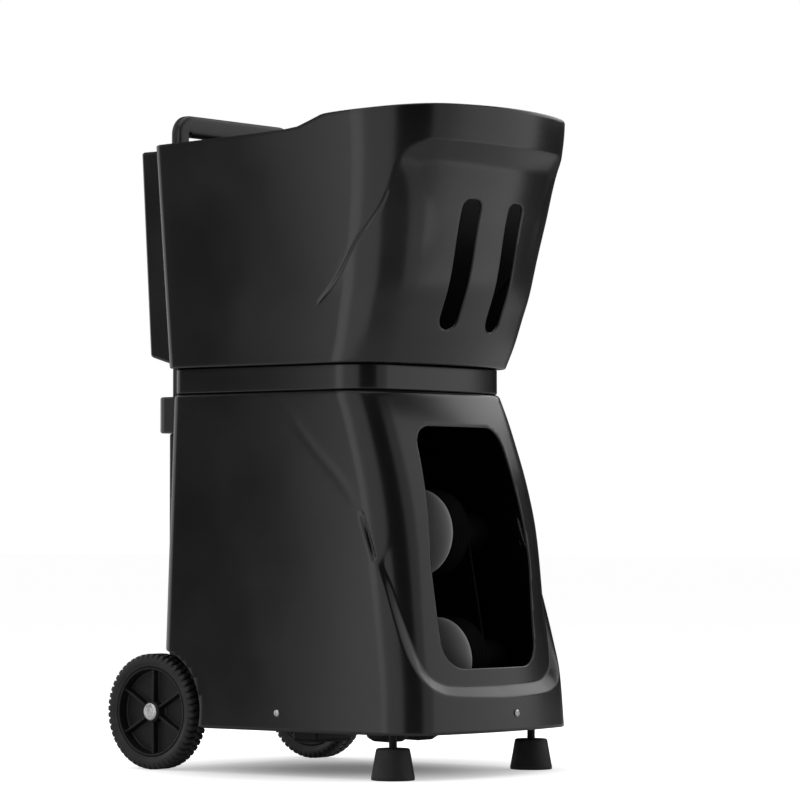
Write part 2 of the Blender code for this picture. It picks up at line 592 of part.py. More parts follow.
def build_launcher():
    tilt_y, tilt_z = launch_spot(-TILT_BACK, 0)
    yaw = empty("yaw_axis", (0, YAW_Y, TRAY_TOP))
    yaw["spot"] = (0, YAW_Y, TRAY_TOP)
    tilt = empty("tilt_axis", (0, tilt_y, tilt_z), yaw)
    tilt["spot"] = (0, tilt_y, tilt_z)

    low = TRAY_TOP + GAP
    table = turned("yaw_turntable", [(0, low + 0.010), (TURNTABLE_RADIUS - 0.002, low + 0.010),
                                     (TURNTABLE_RADIUS, low + 0.008),
                                     (TURNTABLE_RADIUS, low + 0.004), (0.022, low + 0.004),
                                     (0.022, low), (0, low)],
                   DARK_METAL, centre=(0, YAW_Y, 0), steps=24)
    floor = low + 0.010 + GAP
    arm_top = tilt_z + 0.013
    inner, outer = ARM_X, ARM_X + ARM_THICK
    yoke_outline = [(-outer, floor), (outer, floor), (outer, arm_top), (inner, arm_top),
                    (inner, floor + ARM_THICK), (-inner, floor + ARM_THICK), (-inner, arm_top),
                    (-outer, arm_top)]
    yoke = prism("tilt_yoke", yoke_outline, "XZ", tilt_y - 0.016, tilt_y + 0.016, DARK_METAL)
    combine(yoke, cylinder("pin_hole", PIN_RADIUS + GAP, -0.06, 0.06, (0, tilt_y, tilt_z), "X",
                           sides=20))
    tilt_motor = box("tilt_motor", (-outer - 0.019, tilt_y - 0.015, 0.088),
                     (-outer - GAP, tilt_y + 0.015, 0.128), DARK_METAL, 0.003)
    for piece in (table, yoke, tilt_motor):
        hang(piece, yaw)

    plate_outline = rounded([launch_spot(-0.100, -0.040), launch_spot(-0.010, -0.094),
                             launch_spot(0.024, -0.094), launch_spot(0.024, 0.094),
                             launch_spot(-0.024, 0.094), launch_spot(-0.100, 0.020)],
                            [0.010, 0.012, 0.016, 0.016, 0.016, 0.012], 3)
    frame = prism("launcher_frame", plate_outline, "YZ", PLATE_X, PLATE_X + PLATE_THICK,
                  DARK_METAL)
    channel = [(0.0398, 0.0), (0.0350, 0.0)]
    channel += [(0.0350 * math.cos(math.pi * k / 10), -0.0350 * math.sin(math.pi * k / 10))
                for k in range(1, 10)]
    channel += [(-0.0350, 0.0), (-0.0398, 0.0), (-0.0398, -0.040), (0.0398, -0.040)]
    bm = bmesh.new()
    ends = []
    for forward in (-0.150, -0.052):
        ring = []
        for x, up in channel:
            y, z = launch_spot(forward, up)
            ring.append(bm.verts.new((x, y, z)))
        ends.append(ring)
        bm.faces.new(ring)
    for i in range(len(channel)):
        j = (i + 1) % len(channel)
        bm.faces.new((ends[0][i], ends[0][j], ends[1][j], ends[1][i]))
    combine(frame, from_bmesh("channel", bm, None), "UNION")
    for side in (-1, 1):
        combine(frame, cylinder(f"trunnion_{side}", PIN_RADIUS, 0.0385, 0.0505,
                                (0, tilt_y, tilt_z), "X" if side > 0 else "-X", sides=12), "UNION")
    wheels = (("upper", LAUNCH_SPREAD), ("lower", -LAUNCH_SPREAD))
    for name, up in wheels:
        y, z = launch_spot(0, up)
        combine(frame, cylinder(f"{name}_shaft_hole", 0.006, 0.03, 0.05, (0, y, z), "X", sides=12))
    pivot(frame, (0, tilt_y, tilt_z))
    hang(frame, tilt)

    for name, up in wheels:
        y, z = launch_spot(0, up)
        hub = turned(f"{name}_wheel_hub",
                     [(0, 0.0392), (0.0032, 0.0392), (0.0032, 0.0160), (0.0100, 0.0150),
                      (0.0100, 0.0090), (0.0300, 0.0090), (0.0300, -0.0153), (0.0470, -0.0153),
                      (0.0455, -0.0182), (0.0360, -0.0220), (0.0190, -0.0247), (0, -0.0255)],
                     TRIM, "X", (0, y, z), 28)
        tread = turned(f"{name}_wheel_tread",
                       [(0.0303, 0.0145), (0.0440, LAUNCH_HALF_WIDTH), (LAUNCH_RADIUS, 0.0115),
                        (LAUNCH_RADIUS, -0.0115), (0.0440, -LAUNCH_HALF_WIDTH),
                        (0.0303, -0.0145)], RUBBER, "X", (0, y, z), 28, True)
        start = PLATE_X + PLATE_THICK + GAP
        motor = turned(f"{name}_wheel_motor",
                       [(0, start + MOTOR_LENGTH), (0.010, start + MOTOR_LENGTH),
                        (0.012, start + MOTOR_LENGTH - 0.004),
                        (MOTOR_RADIUS, start + MOTOR_LENGTH - 0.004), (MOTOR_RADIUS, start),
                        (0, start)], DARK_METAL, "X", (0, y, z), 28)
        for piece in (hub, tread, motor):
            hang(piece, tilt)

    box("yaw_motor", (0.064, YAW_Y - 0.022, TRAY_TOP + GAP), (0.102, YAW_Y + 0.018, 0.094),
        DARK_METAL, 0.004)


# ---------------------------------------------------------------- power and electronics

def build_power():
    low, top = TRAY_TOP + GAP, 0.130
    box("battery", (-0.075, 0.050, low), (0.075, 0.120, top), INNER, 0.005)
    inner, outer = 0.0758, 0.0788
    strap = [(-outer, low), (-inner, low), (-inner, top + 0.0008), (inner, top + 0.0008),
             (inner, low), (outer, low), (outer, top + 0.0038), (-outer, top + 0.0038)]
    prism("battery_strap", strap, "XZ", 0.075, 0.095, DARK_METAL)
    board = box("control_board", (-0.045, 0.1430, 0.200), (0.045, 0.1446, 0.290), BOARD)
    for k, (x, z) in enumerate([(-0.040, 0.205), (0.040, 0.205), (-0.040, 0.285), (0.040, 0.285)]):
        combine(board, cylinder(f"standoff_{k}", 0.003, 0.1440, BACK_WALL - WALL - GAP,
                                (x, 0, z), "Y", sides=12), "UNION")
    for k, (x, z, w, h, d) in enumerate([(-0.015, 0.255, 0.014, 0.014, 0.003),
                                         (0.022, 0.225, 0.008, 0.012, 0.010)]):
        combine(board, box(f"chip_{k}", (x - w, 0.1435 - d, z - h), (x + w, 0.1435, z + h)),
                "UNION")


# ---------------------------------------------------------------- wheels, axle and feet

def build_wheels():
    tip = WHEEL_X + 0.0106
    turned("wheel_axle", [(0, tip), (AXLE_END_RADIUS, tip), (AXLE_END_RADIUS, 0.1230),
                          (AXLE_RADIUS, 0.1230), (AXLE_RADIUS, -0.1230),
                          (AXLE_END_RADIUS, -0.1230), (AXLE_END_RADIUS, -tip), (0, -tip)],
           STEEL, "X", (0, AXLE_Y, AXLE_Z), 16)
    for side in (-1, 1):
        name = "left" if side < 0 else "right"
        axis = "X" if side > 0 else "-X"
        spot = (side * WHEEL_X, AXLE_Y, AXLE_Z)
        turned(f"{name}_wheel_tyre",
               [(0.0492, 0.0110), (0.0580, TYRE_HALF_WIDTH), (TYRE_RADIUS, 0.0100),
                (TYRE_RADIUS, -0.0100), (0.0580, -TYRE_HALF_WIDTH), (0.0492, -0.0110)],
               RUBBER, axis, spot, 40, True)
        rim = turned(f"{name}_wheel_rim",
                     [(0.0489, 0.0115), (0.0489, -0.0115), (0.0455, -0.0115), (0.0455, -0.0035),
                      (0.0120, -0.0035), (0.0120, -0.0125), (0.0054, -0.0125), (0.0054, 0.0105),
                      (0.0115, 0.0105), (0.0125, 0.0005), (0.0450, 0.0005), (0.0465, 0.0115)],
                     TRIM, axis, spot, 20, True)
        for k in range(RIBS):
            rib = box(f"{name}_rib_{k}", (0.0118, -0.0015, -0.0020), (0.0470, 0.0015, 0.0070))
            rib.data.transform(Matrix.Rotation(2 * math.pi * k / RIBS, 4, "Z"))
            rib.matrix_world = rim.matrix_world.copy()
            combine(rim, rib, "UNION")
        turned(f"{name}_axle_nut", [(0, 0.0142), (0.0060, 0.0142), (0.0086, 0.0130),
                                    (0.0095, 0.0115), (0.0095, 0.0109), (0, 0.0109)],
               STEEL, axis, spot, 16)

        inner, outer = sorted((side * BRACKET_INNER, side * BRACKET_OUTER))
        bracket = box(f"{name}_axle_bracket", (inner, MOUNT_FACE, BASE_BOTTOM),
                      (outer, BRACKET_BACK, BRACKET_TOP), TRIM, 0.003)
        combine(bracket, cylinder(f"{name}_axle_bore", AXLE_RADIUS + GAP, -0.13, 0.13,
                                  (0, AXLE_Y, AXLE_Z), "X", sides=24))


def build_feet():
    for side in (-1, 1):
        name = "left" if side < 0 else "right"
        spot = (side * FOOT_X, FOOT_Y, 0)
        turned(f"{name}_foot_pad",
               [(0, 0.020), (STEM_RADIUS + GAP, 0.020), (STEM_RADIUS + GAP, FOOT_HEIGHT),
                (0.0165, FOOT_HEIGHT), (0.0180, FOOT_HEIGHT - 0.0015), (0.0228, 0.0040),
                (0.0230, 0.0), (0, 0.0)], RUBBER, "Z", spot, 16)
        turned(f"{name}_foot_stem", [(0, STEM_TOP), (STEM_RADIUS, STEM_TOP),
                                     (STEM_RADIUS, 0.020 + GAP), (0, 0.020 + GAP)],
               DARK_METAL, "Z", spot, 12)
        nut = cylinder(f"{name}_foot_nut", 0.0088, TRAY_TOP + GAP, TRAY_TOP + 0.0063, spot,
                       look=STEEL, sides=6)
        combine(nut, cylinder(f"{name}_nut_bore", STEM_RADIUS + GAP, 0.05, 0.07, spot, sides=16))


# ---------------------------------------------------------------- handle

def build_handle():
    outer, inner = HANDLE_X + LEG_WIDTH / 2, HANDLE_X - LEG_WIDTH / 2
    leg_foot = TUBE_TOP + GAP
    under = GRIP_TOP - GRIP_BAR
    outline = [(-outer, leg_foot), (-inner, leg_foot)]
    for side in (-1, 1):
        arc = [(side * (inner - 0.010 * (1 - math.cos(a))), under - 0.010 * (1 - math.sin(a)))
               for a in (math.pi / 10 * k for k in range(6))]
        outline += arc if side < 0 else arc[::-1]
    outline += [(inner, leg_foot), (outer, leg_foot)]
    for side in (1, -1):
        arc = [(side * (outer - 0.022 * (1 - math.cos(a))), GRIP_TOP - 0.022 * (1 - math.sin(a)))
               for a in (math.pi / 12 * k for k in range(7))]
        outline += arc if side > 0 else arc[::-1]
    prism("handle_grip", outline, "XZ", HANDLE_Y - LEG_DEPTH / 2, HANDLE_Y + LEG_DEPTH / 2, TRIM,
          0.004)

    clamp_top = BASE_TOP - 0.0015
    clamp_bottom = SLEEVE_TOP + GAP
    clamp_outline = rounded([(-CLAMP_HALF_WIDTH, MOUNT_FACE), (CLAMP_HALF_WIDTH, MOUNT_FACE),
                             (CLAMP_HALF_WIDTH, CLAMP_BACK), (-CLAMP_HALF_WIDTH, CLAMP_BACK)],
                            [0.004, 0.004, 0.013, 0.013], 4)
    clamp = prism("handle_clamp", clamp_outline, "XY", clamp_bottom, clamp_top, TRIM, 0.002)
    for side in (-1, 1):
        name = "left" if side < 0 else "right"
        x = side * HANDLE_X
        half_w, half_d = TUBE_WIDTH / 2, TUBE_DEPTH / 2
        box(f"{name}_handle_tube", (x - half_w, HANDLE_Y - half_d, TUBE_BOTTOM),
            (x + half_w, HANDLE_Y + half_d, TUBE_TOP), DARK_METAL, 0.0015)
        slack = 0.0005
        combine(clamp, box(f"clamp_hole_{name}", (x - half_w - slack, HANDLE_Y - half_d - slack, 0.3),
                           (x + half_w + slack, HANDLE_Y + half_d + slack, 0.5)))
        sleeve = box(f"{name}_handle_sleeve",
                     (x - SLEEVE_WIDTH / 2, HANDLE_Y - SLEEVE_DEPTH / 2, SLEEVE_BOTTOM),
                     (x + SLEEVE_WIDTH / 2, HANDLE_Y + SLEEVE_DEPTH / 2, SLEEVE_TOP), TRIM, 0.002)
        combine(sleeve, box(f"sleeve_hole_{name}", (x - half_w - slack, HANDLE_Y - half_d - slack, 0),
                            (x + half_w + slack, HANDLE_Y + half_d + slack, 0.5)))
    box("handle_foot", (-FOOT_BAR_HALF_WIDTH, MOUNT_FACE, FOOT_BAR_BOTTOM),
        (FOOT_BAR_HALF_WIDTH, FOOT_BAR_BACK, SLEEVE_BOTTOM - GAP), TRIM, 0.002)


# ---------------------------------------------------------------- rear box and its panel

def build_rear_box():
    profile = [(MOUNT_FACE, BOX_BOTTOM_FRONT), (BOX_DEPTH_BOTTOM, BOX_BOTTOM_REAR),
               (BOX_DEPTH_TOP, BOX_TOP), (MOUNT_FACE, BOX_TOP)]
    shell = prism("rear_box", profile, "YZ", -BOX_HALF_WIDTH, BOX_HALF_WIDTH, SHELL, 0.003)
    open_side = BACK_WALL - 0.020
    inner = [(open_side, BOX_BOTTOM_FRONT),
             (BOX_DEPTH_BOTTOM - WALL, BOX_BOTTOM_REAR + WALL),
             (BOX_DEPTH_TOP - WALL, BOX_TOP - WALL), (open_side, BOX_TOP - WALL)]
    combine(shell, prism("box_hollow", inner, "YZ", -BOX_HALF_WIDTH + WALL, BOX_HALF_WIDTH - WALL))
    for side in (-1, 1):
        x = side * HANDLE_X
        half_w, half_d = LEG_WIDTH / 2 + 0.001, LEG_DEPTH / 2 + 0.001
        combine(shell, box(f"leg_hole_{side}", (x - half_w, HANDLE_Y - half_d, 0.40),
                           (x + half_w, HANDLE_Y + half_d, 0.72)))

    lean = math.atan2(BOX_DEPTH_TOP - BOX_DEPTH_BOTTOM, BOX_TOP - BOX_BOTTOM_REAR)
    face_y = (BOX_DEPTH_BOTTOM + (BOX_DEPTH_TOP - BOX_DEPTH_BOTTOM)
              * (PANEL_Z - BOX_BOTTOM_REAR) / (BOX_TOP - BOX_BOTTOM_REAR))
    frame = empty("panel_frame", (0, face_y, PANEL_Z))
    frame.rotation_euler = (-lean, 0, 0)

    outline = rounded([(-0.056, -0.030), (0.056, -0.030), (0.056, 0.030), (-0.056, 0.030)],
                      [0.006] * 4, 4)
    plate = prism("control_panel", outline, "XZ", GAP, 0.0023, TRIM)
    holes = [box("switch_hole", (-0.0405, -0.01, -0.0075), (-0.0195, 0.01, 0.0075)),
             cylinder("button_hole", 0.0088, -0.01, 0.01, (0.006, 0, 0), "Y", sides=20),
             cylinder("lens_hole", 0.0038, -0.01, 0.01, (0.024, 0, 0.012), "Y", sides=12),
             cylinder("socket_hole", 0.0070, -0.01, 0.01, (0.040, 0, -0.006), "Y", sides=16)]
    for hole in holes:
        combine(plate, hole)
    switch = box("power_switch", (-0.0098, -0.0018, -0.0066), (0.0098, 0.0028, 0.0066), RUBBER,
                 0.0010)
    switch.location = (-0.030, 0.0042, 0)
    button = turned("start_button", [(0, 0.0070), (0.0070, 0.0070), (0.0084, 0.0058),
                                     (0.0084, 0.0030), (0, 0.0030)], INNER, "Y", (0.006, 0, 0), 20)
    lens = turned("status_lens", [(0, 0.0038), (0.0020, 0.0034), (0.0034, 0.0020),
                                  (0.0034, 0.0006), (0, 0.0006)], LENS, "Y", (0.024, 0, 0.012), 12)
    socket = turned("charge_socket", [(0, 0.0014), (0.0030, 0.0014), (0.0030, 0.0042),
                                      (0.0056, 0.0042), (0.0066, 0.0034), (0.0066, 0.0006),
                                      (0, 0.0006)], DARK_METAL, "Y", (0.040, 0, -0.006), 16)
    for piece in (plate, switch, button, lens, socket, *holes):
        piece.parent = frame


# ---------------------------------------------------------------- shell screws

def build_screws():
    """Pan heads on the shell, their shanks through its wall."""
    profile = [(0, 0.0024), (0.0022, 0.0021), (0.0036, 0.0010), (0.0038, GAP), (0.0018, GAP),
               (0.0018, -0.0090), (0, -0.0090)]
    half = base_section(SCREW_Z, counts=(24, 5, 7, 3, 3))
    side_x = max(x for x, *_ in half)
    front_y = min((abs(x - SCREW_FRONT_X), y) for x, y, *_ in half)[1]
    turned("left_side_screw", profile, STEEL, "-X", (-side_x, SCREW_SIDE_Y, SCREW_Z), 12)
    turned("right_side_screw", profile, STEEL, "X", (side_x, SCREW_SIDE_Y, SCREW_Z), 12)
    turned("front_screw", profile, STEEL, "-Y", (SCREW_FRONT_X, front_y - 0.0004, SCREW_Z), 12)


build_base()
build_tray()
build_neck()
build_hopper()
build_feed()
build_launcher()
build_power()
build_wheels()
build_feet()
build_handle()
build_rear_box()
build_screws()
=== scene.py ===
"""Looks of the tennis ball machine: fine shells, wheels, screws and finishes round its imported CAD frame.

Metres, +Z up, the launch window faces -Y. Left is -X.
"""

import json
import math

import bpy
import numpy as np
from mathutils import Matrix, Vector


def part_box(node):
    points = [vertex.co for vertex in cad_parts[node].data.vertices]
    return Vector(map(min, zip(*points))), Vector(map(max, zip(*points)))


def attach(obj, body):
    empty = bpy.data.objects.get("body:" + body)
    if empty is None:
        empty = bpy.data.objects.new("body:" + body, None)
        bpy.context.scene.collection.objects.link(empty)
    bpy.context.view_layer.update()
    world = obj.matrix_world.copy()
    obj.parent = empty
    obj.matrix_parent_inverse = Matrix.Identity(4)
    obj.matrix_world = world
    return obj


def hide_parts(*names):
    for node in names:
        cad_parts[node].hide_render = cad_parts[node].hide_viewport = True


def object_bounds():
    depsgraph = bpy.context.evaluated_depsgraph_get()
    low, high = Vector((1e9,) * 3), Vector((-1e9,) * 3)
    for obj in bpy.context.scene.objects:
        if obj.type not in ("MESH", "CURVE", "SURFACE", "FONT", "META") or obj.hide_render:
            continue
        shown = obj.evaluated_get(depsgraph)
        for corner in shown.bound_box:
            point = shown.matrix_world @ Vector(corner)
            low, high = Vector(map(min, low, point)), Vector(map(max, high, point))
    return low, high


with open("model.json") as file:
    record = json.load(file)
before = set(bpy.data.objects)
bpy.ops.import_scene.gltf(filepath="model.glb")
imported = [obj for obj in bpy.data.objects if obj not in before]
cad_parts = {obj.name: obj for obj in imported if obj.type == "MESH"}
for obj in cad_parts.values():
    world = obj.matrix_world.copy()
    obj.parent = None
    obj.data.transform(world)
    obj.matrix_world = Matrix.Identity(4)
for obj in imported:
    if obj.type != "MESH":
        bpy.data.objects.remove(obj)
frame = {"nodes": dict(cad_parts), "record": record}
CAD_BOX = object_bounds()
FINE = 2      # how finely the big shells are divided

# ---------------------------------------------------------------- driving sizes, as the CAD has them

WALL = 0.003
BACK_WALL = 0.154
REACH = CAD_BOX[1].y               # front of the rim, from the middle

BASE_BOTTOM, BASE_TOP = (corner.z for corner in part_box("base_shell"))
BASE_HALF_WIDTH_BOTTOM, BASE_HALF_WIDTH_TOP = 0.147, 0.130
BASE_FRONT = [(0.048, 0.2145), (0.098, 0.211), (0.142, 0.2045), (0.186, 0.197), (0.230, 0.189),
              (0.274, 0.180), (0.318, 0.169), (0.362, 0.1545), (0.384, 0.1465), (0.412, 0.1345)]
BASE_CORNER, BASE_FRONT_ARC, BASE_REAR_CORNER = 0.045, 0.55, 0.014
BASE_SHOULDER, BASE_FLANGE = 0.004, 0.012

HOPPER_BOTTOM, HOPPER_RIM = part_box("hopper_shell")[0].z, 0.713
HOPPER_HALF_WIDTH_BOTTOM, HOPPER_HALF_WIDTH_RIM = 0.137, 0.1625
HOPPER_FRONT = [(0.4406, 0.148), (0.467, 0.1606), (0.500, 0.1729), (0.533, 0.186), (0.566, 0.1975),
                (0.600, 0.2075), (0.640, 0.2175), (0.670, 0.2235), (0.700, 0.2275), (0.713, REACH)]
HOPPER_CORNER_BOTTOM, HOPPER_CORNER_RIM = 0.055, 0.092
HOPPER_FRONT_ARC, HOPPER_REAR_CORNER, HOPPER_FLANGE = 0.35, 0.0125, 0.010
RIM_HEIGHT = [(-REACH, 0.713), (-0.150, 0.7065), (-0.094, 0.704), (-0.047, 0.6915), (0.010, 0.689),
              (BACK_WALL, 0.685)]

# Edges of the pressed-in areas, as (distance round the outline, height)
PANEL_EDGE = [(0.0, 0.672), (0.105, 0.673), (0.131, 0.669), (0.145, 0.660), (0.151, 0.648),
              (0.155, 0.627), (0.159, 0.608), (0.167, 0.591), (0.180, 0.567), (0.189, 0.543),
              (0.198, 0.522), (0.210, 0.504)]
PANEL_DEPTH, PANEL_FADE_FROM, PANEL_FADE_TO = 0.0095, 0.505, 0.600
PANEL_SLOPE, PANEL_SPREAD = 0.018, 0.060
PANEL_SPREAD_FROM, PANEL_SPREAD_TO = 0.668, 0.570
SCOOP_EDGE = [(0.0, 0.084), (0.072, 0.086), (0.100, 0.091), (0.120, 0.103), (0.132, 0.121),
              (0.139, 0.142), (0.144, 0.169), (0.149, 0.200), (0.156, 0.232), (0.163, 0.281)]
SCOOP_DEPTH, SCOOP_SLOPE, SCOOP_FADE_FROM, SCOOP_FADE_TO = 0.009, 0.0125, 0.290, 0.130
# Up its side the scoop's slope first narrows, then widens: by how much, from what height, over what rise
SCOOP_NARROW, SCOOP_NARROW_FROM, SCOOP_NARROW_RISE = 0.45, 0.12, 0.08
SCOOP_WIDEN, SCOOP_WIDEN_FROM, SCOOP_WIDEN_RISE = 3, 0.22, 0.06
PANEL_KNEE, SCOOP_KNEE = 0.12, 0.09
# The dark slit at the scoop's tail, the faint fold above it and the hopper's crease
SLIT = [(0.156, 0.230), (0.160, 0.255), (0.164, 0.281)]
SLIT_WIDTH, SLIT_DEPTH = 0.0022, 0.0042
FOLD = [(0.166, 0.285), (0.186, 0.318), (0.213, 0.355), (0.240, 0.405)]
FOLD_WIDTH, FOLD_DEPTH = 0.0060, 0.0003
CREASE_FROM, CREASE_TO, CREASE_WIDTH, CREASE_DEPTH = 0.504, 0.620, 0.0013, 0.0016
CREASE_START = 0.14                # distance round the outline past which the panel's edge creases

WINDOW_SIDE = [(0.080, 0.116), (0.087, 0.230), (0.073, 0.374)]
WINDOW_RADII = [0.030, 0.120, 0.025]
SLOT_X, SLOT_WIDTH, SLOT_BOTTOM, SLOT_TOP = 0.0385, 0.028, 0.477, 0.6145
SLOT_RADII = [0.013, 0.013, 0.010, 0.010]
WINDOW_ZONE, SLOT_ZONE = -0.10, -0.08      # the openings cut only the wall in front of these

NECK_HALF_WIDTH, NECK_FRONT, NECK_WALL = 0.1285, 0.1330, 0.004
TYRE_RADIUS = (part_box("left_wheel_tyre")[1].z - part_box("left_wheel_tyre")[0].z) / 2
AXLE_Y, AXLE_Z, WHEEL_X = REACH - TYRE_RADIUS, TYRE_RADIUS, 0.137
WHEELS = (("left", "-X", (-WHEEL_X, AXLE_Y, AXLE_Z)), ("right", "X", (WHEEL_X, AXLE_Y, AXLE_Z)))
ARCH_RADIUS, ARCH_X = 0.069, 0.118


# ---------------------------------------------------------------- curves

def smooth(t):
    t = np.clip(t, 0.0, 1.0)
    return t * t * (3 - 2 * t)


def slope(t, soft=0.22):
    """A straight climb from 0 to 1 whose two ends are rounded over the soft share."""
    def knee(u):
        return np.where(u <= -soft, 0.0, np.where(u >= soft, u, (u + soft) ** 2 / (4 * soft)))
    return knee(t) - knee(t - 1)


def along(table, x):
    """A smooth curve through the points of a table (x, value), by monotone slopes."""
    xs, ys = np.array(table).T
    slopes = np.diff(ys) / np.diff(xs)
    product = slopes[:-1] * slopes[1:]
    safe = np.where(product > 0, slopes[:-1] + slopes[1:], 1.0)
    inner = np.where(product > 0, 2 * product / safe, 0.0)
    ends = np.concatenate([slopes[:1], inner, slopes[-1:]])
    x = np.clip(x, xs[0], xs[-1])
    i = np.clip(np.searchsorted(xs, x, side="right") - 1, 0, len(xs) - 2)
    span = xs[i + 1] - xs[i]
    t = (x - xs[i]) / span
    return ((2 * t ** 3 - 3 * t ** 2 + 1) * ys[i] + (t ** 3 - 2 * t ** 2 + t) * span * ends[i]
            + (3 * t ** 2 - 2 * t ** 3) * ys[i + 1] + (t ** 3 - t ** 2) * span * ends[i + 1])


def spline(points, steps=8):
    """A smooth line through points."""
    p = np.array(points, float)
    p = np.vstack([2 * p[0] - p[1], p, 2 * p[-1] - p[-2]])
    made = []
    for a, b, c, d in zip(p, p[1:], p[2:], p[3:]):
        for k in range(steps):
            t = k / steps
            made.append(0.5 * (2 * b + (c - a) * t + (2 * a - 5 * b + 4 * c - d) * t ** 2
                               + (3 * b - a - 3 * c + d) * t ** 3))
    made.append(p[-2])
    return np.array(made)


def line_distance(line, s, z):
    """Distance of each point from a line, which side it is on, and how far along the line it is."""
    best = np.full(s.shape, np.inf)
    side = np.zeros(s.shape)
    share = np.zeros(s.shape)
    count = len(line) - 1
    for i, ((s0, z0), (s1, z1)) in enumerate(zip(line, line[1:])):
        ds, dz = s1 - s0, z1 - z0
        t = np.clip(((s - s0) * ds + (z - z0) * dz) / (ds * ds + dz * dz), 0, 1)
        off_s, off_z = s - s0 - t * ds, z - z0 - t * dz
        distance = np.hypot(off_s, off_z)
        nearer = distance < best
        best = np.where(nearer, distance, best)
        side = np.where(nearer, np.sign(off_s * dz - off_z * ds), side)
        share = np.where(nearer, (i + t) / count, share)
    return best, side, share


def rounded(corners, radii, steps=5):
    """An outline with its corners turned into arcs."""
    points = []
    for i, corner in enumerate(corners):
        here = Vector(corner)
        before = (Vector(corners[i - 1]) - here).normalized()
        after = (Vector(corners[(i + 1) % len(corners)]) - here).normalized()
        half = before.angle(after) / 2
        centre = here + (before + after).normalized() * (radii[i] / math.sin(half))
        first = here + before * (radii[i] / math.tan(half)) - centre
        last = here + after * (radii[i] / math.tan(half)) - centre
        for k in range(steps + 1):
            points.append(tuple(centre + first.lerp(last, k / steps).normalized() * radii[i]))
    return points


def outline_distance(outline, x, z):
    """Signed distance from a closed outline, negative inside it."""
    closed = np.vstack([outline, outline[:1]])
    best = line_distance(closed, x, z)[0]
    inside = np.zeros(x.shape, bool)
    for (x0, z0), (x1, z1) in zip(closed, closed[1:]):
        if z0 != z1:
            inside ^= ((z0 > z) != (z1 > z)) & (x < (x1 - x0) * (z - z0) / (z1 - z0) + x0)
    return np.where(inside, -best, best)


def eased(points, cut, steps=4):
    """A line whose corners are eased by short curves, each starting cut away from its corner."""
    p = [np.array(point, float) for point in points]
    made = []
    for i, here in enumerate(p):
        if i in (0, len(p) - 1):
            made.append(here)
            continue
        before, after = p[i - 1] - here, p[i + 1] - here
        first = here + before * min(cut / np.linalg.norm(before), 0.45)
        last = here + after * min(cut / np.linalg.norm(after), 0.45)
        for k in range(steps + 1):
            t = k / steps
            made.append((1 - t) ** 2 * first + 2 * t * (1 - t) * here + t * t * last)
    return made


# ---------------------------------------------------------------- meshes

def add(name, points, faces, look, body, slot, stands_for=()):
    """A smooth mesh that rides on a CAD body and stands for CAD nodes."""
    points = np.asarray(points, float).reshape(-1, 3)
    used, index = np.unique(np.concatenate([np.ravel(f) for f in faces]), return_inverse=True)
    renamed, start = [], 0
    for f in faces:
        renamed.append(index[start:start + f.size].reshape(f.shape))
        start += f.size
    mesh = bpy.data.meshes.new(name)
    mesh.from_pydata(points[used].tolist(), [], [row for f in renamed for row in f.tolist()])
    mesh.validate()
    mesh.shade_smooth()
    mesh.materials.append(look)
    obj = bpy.data.objects.new(name, mesh)
    bpy.context.scene.collection.objects.link(obj)
    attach(obj, body)
    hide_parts(*stands_for)
    return obj


def grid_faces(rows, columns, wrap_rows=False, wrap_columns=True):
    """Quads of a grid of points, numbered row by row."""
    r = np.arange(rows if wrap_rows else rows - 1)
    c = np.arange(columns if wrap_columns else columns - 1)
    r, c = (a.ravel() for a in np.meshgrid(r, c, indexing="ij"))
    up, on = (r + 1) % rows, (c + 1) % columns
    return np.stack([r * columns + c, r * columns + on, up * columns + on, up * columns + c], 1)


def trim(points, keep):
    """Faces where keep is positive; the last vertices move onto the line where it is zero."""
    rows, columns = keep.shape
    moved = points.copy()
    best = np.full(keep.shape, np.inf)
    padded_keep = np.pad(keep, ((1, 1), (0, 0)), constant_values=-1.0)
    padded = np.pad(points, ((1, 1), (0, 0), (0, 0)), mode="edge")
    for dr in (-1, 0, 1):
        for dc in (-1, 0, 1):
            other_keep = np.roll(padded_keep, -dc, 1)[1 + dr:1 + dr + rows]
            other = np.roll(padded, -dc, 1)[1 + dr:1 + dr + rows]
            crossing = (keep < 0) & (other_keep > 0)
            t = np.where(crossing, keep / np.where(crossing, keep - other_keep, 1.0), 0.0)
            spot = points + t[..., None] * (other - points)
            distance = np.linalg.norm(spot - points, axis=2)
            better = crossing & (distance < best)
            moved[better] = spot[better]
            best[better] = distance[better]
    faces = grid_faces(rows, columns)
    return moved.reshape(-1, 3), faces[(keep.ravel()[faces] > 0).any(1)]


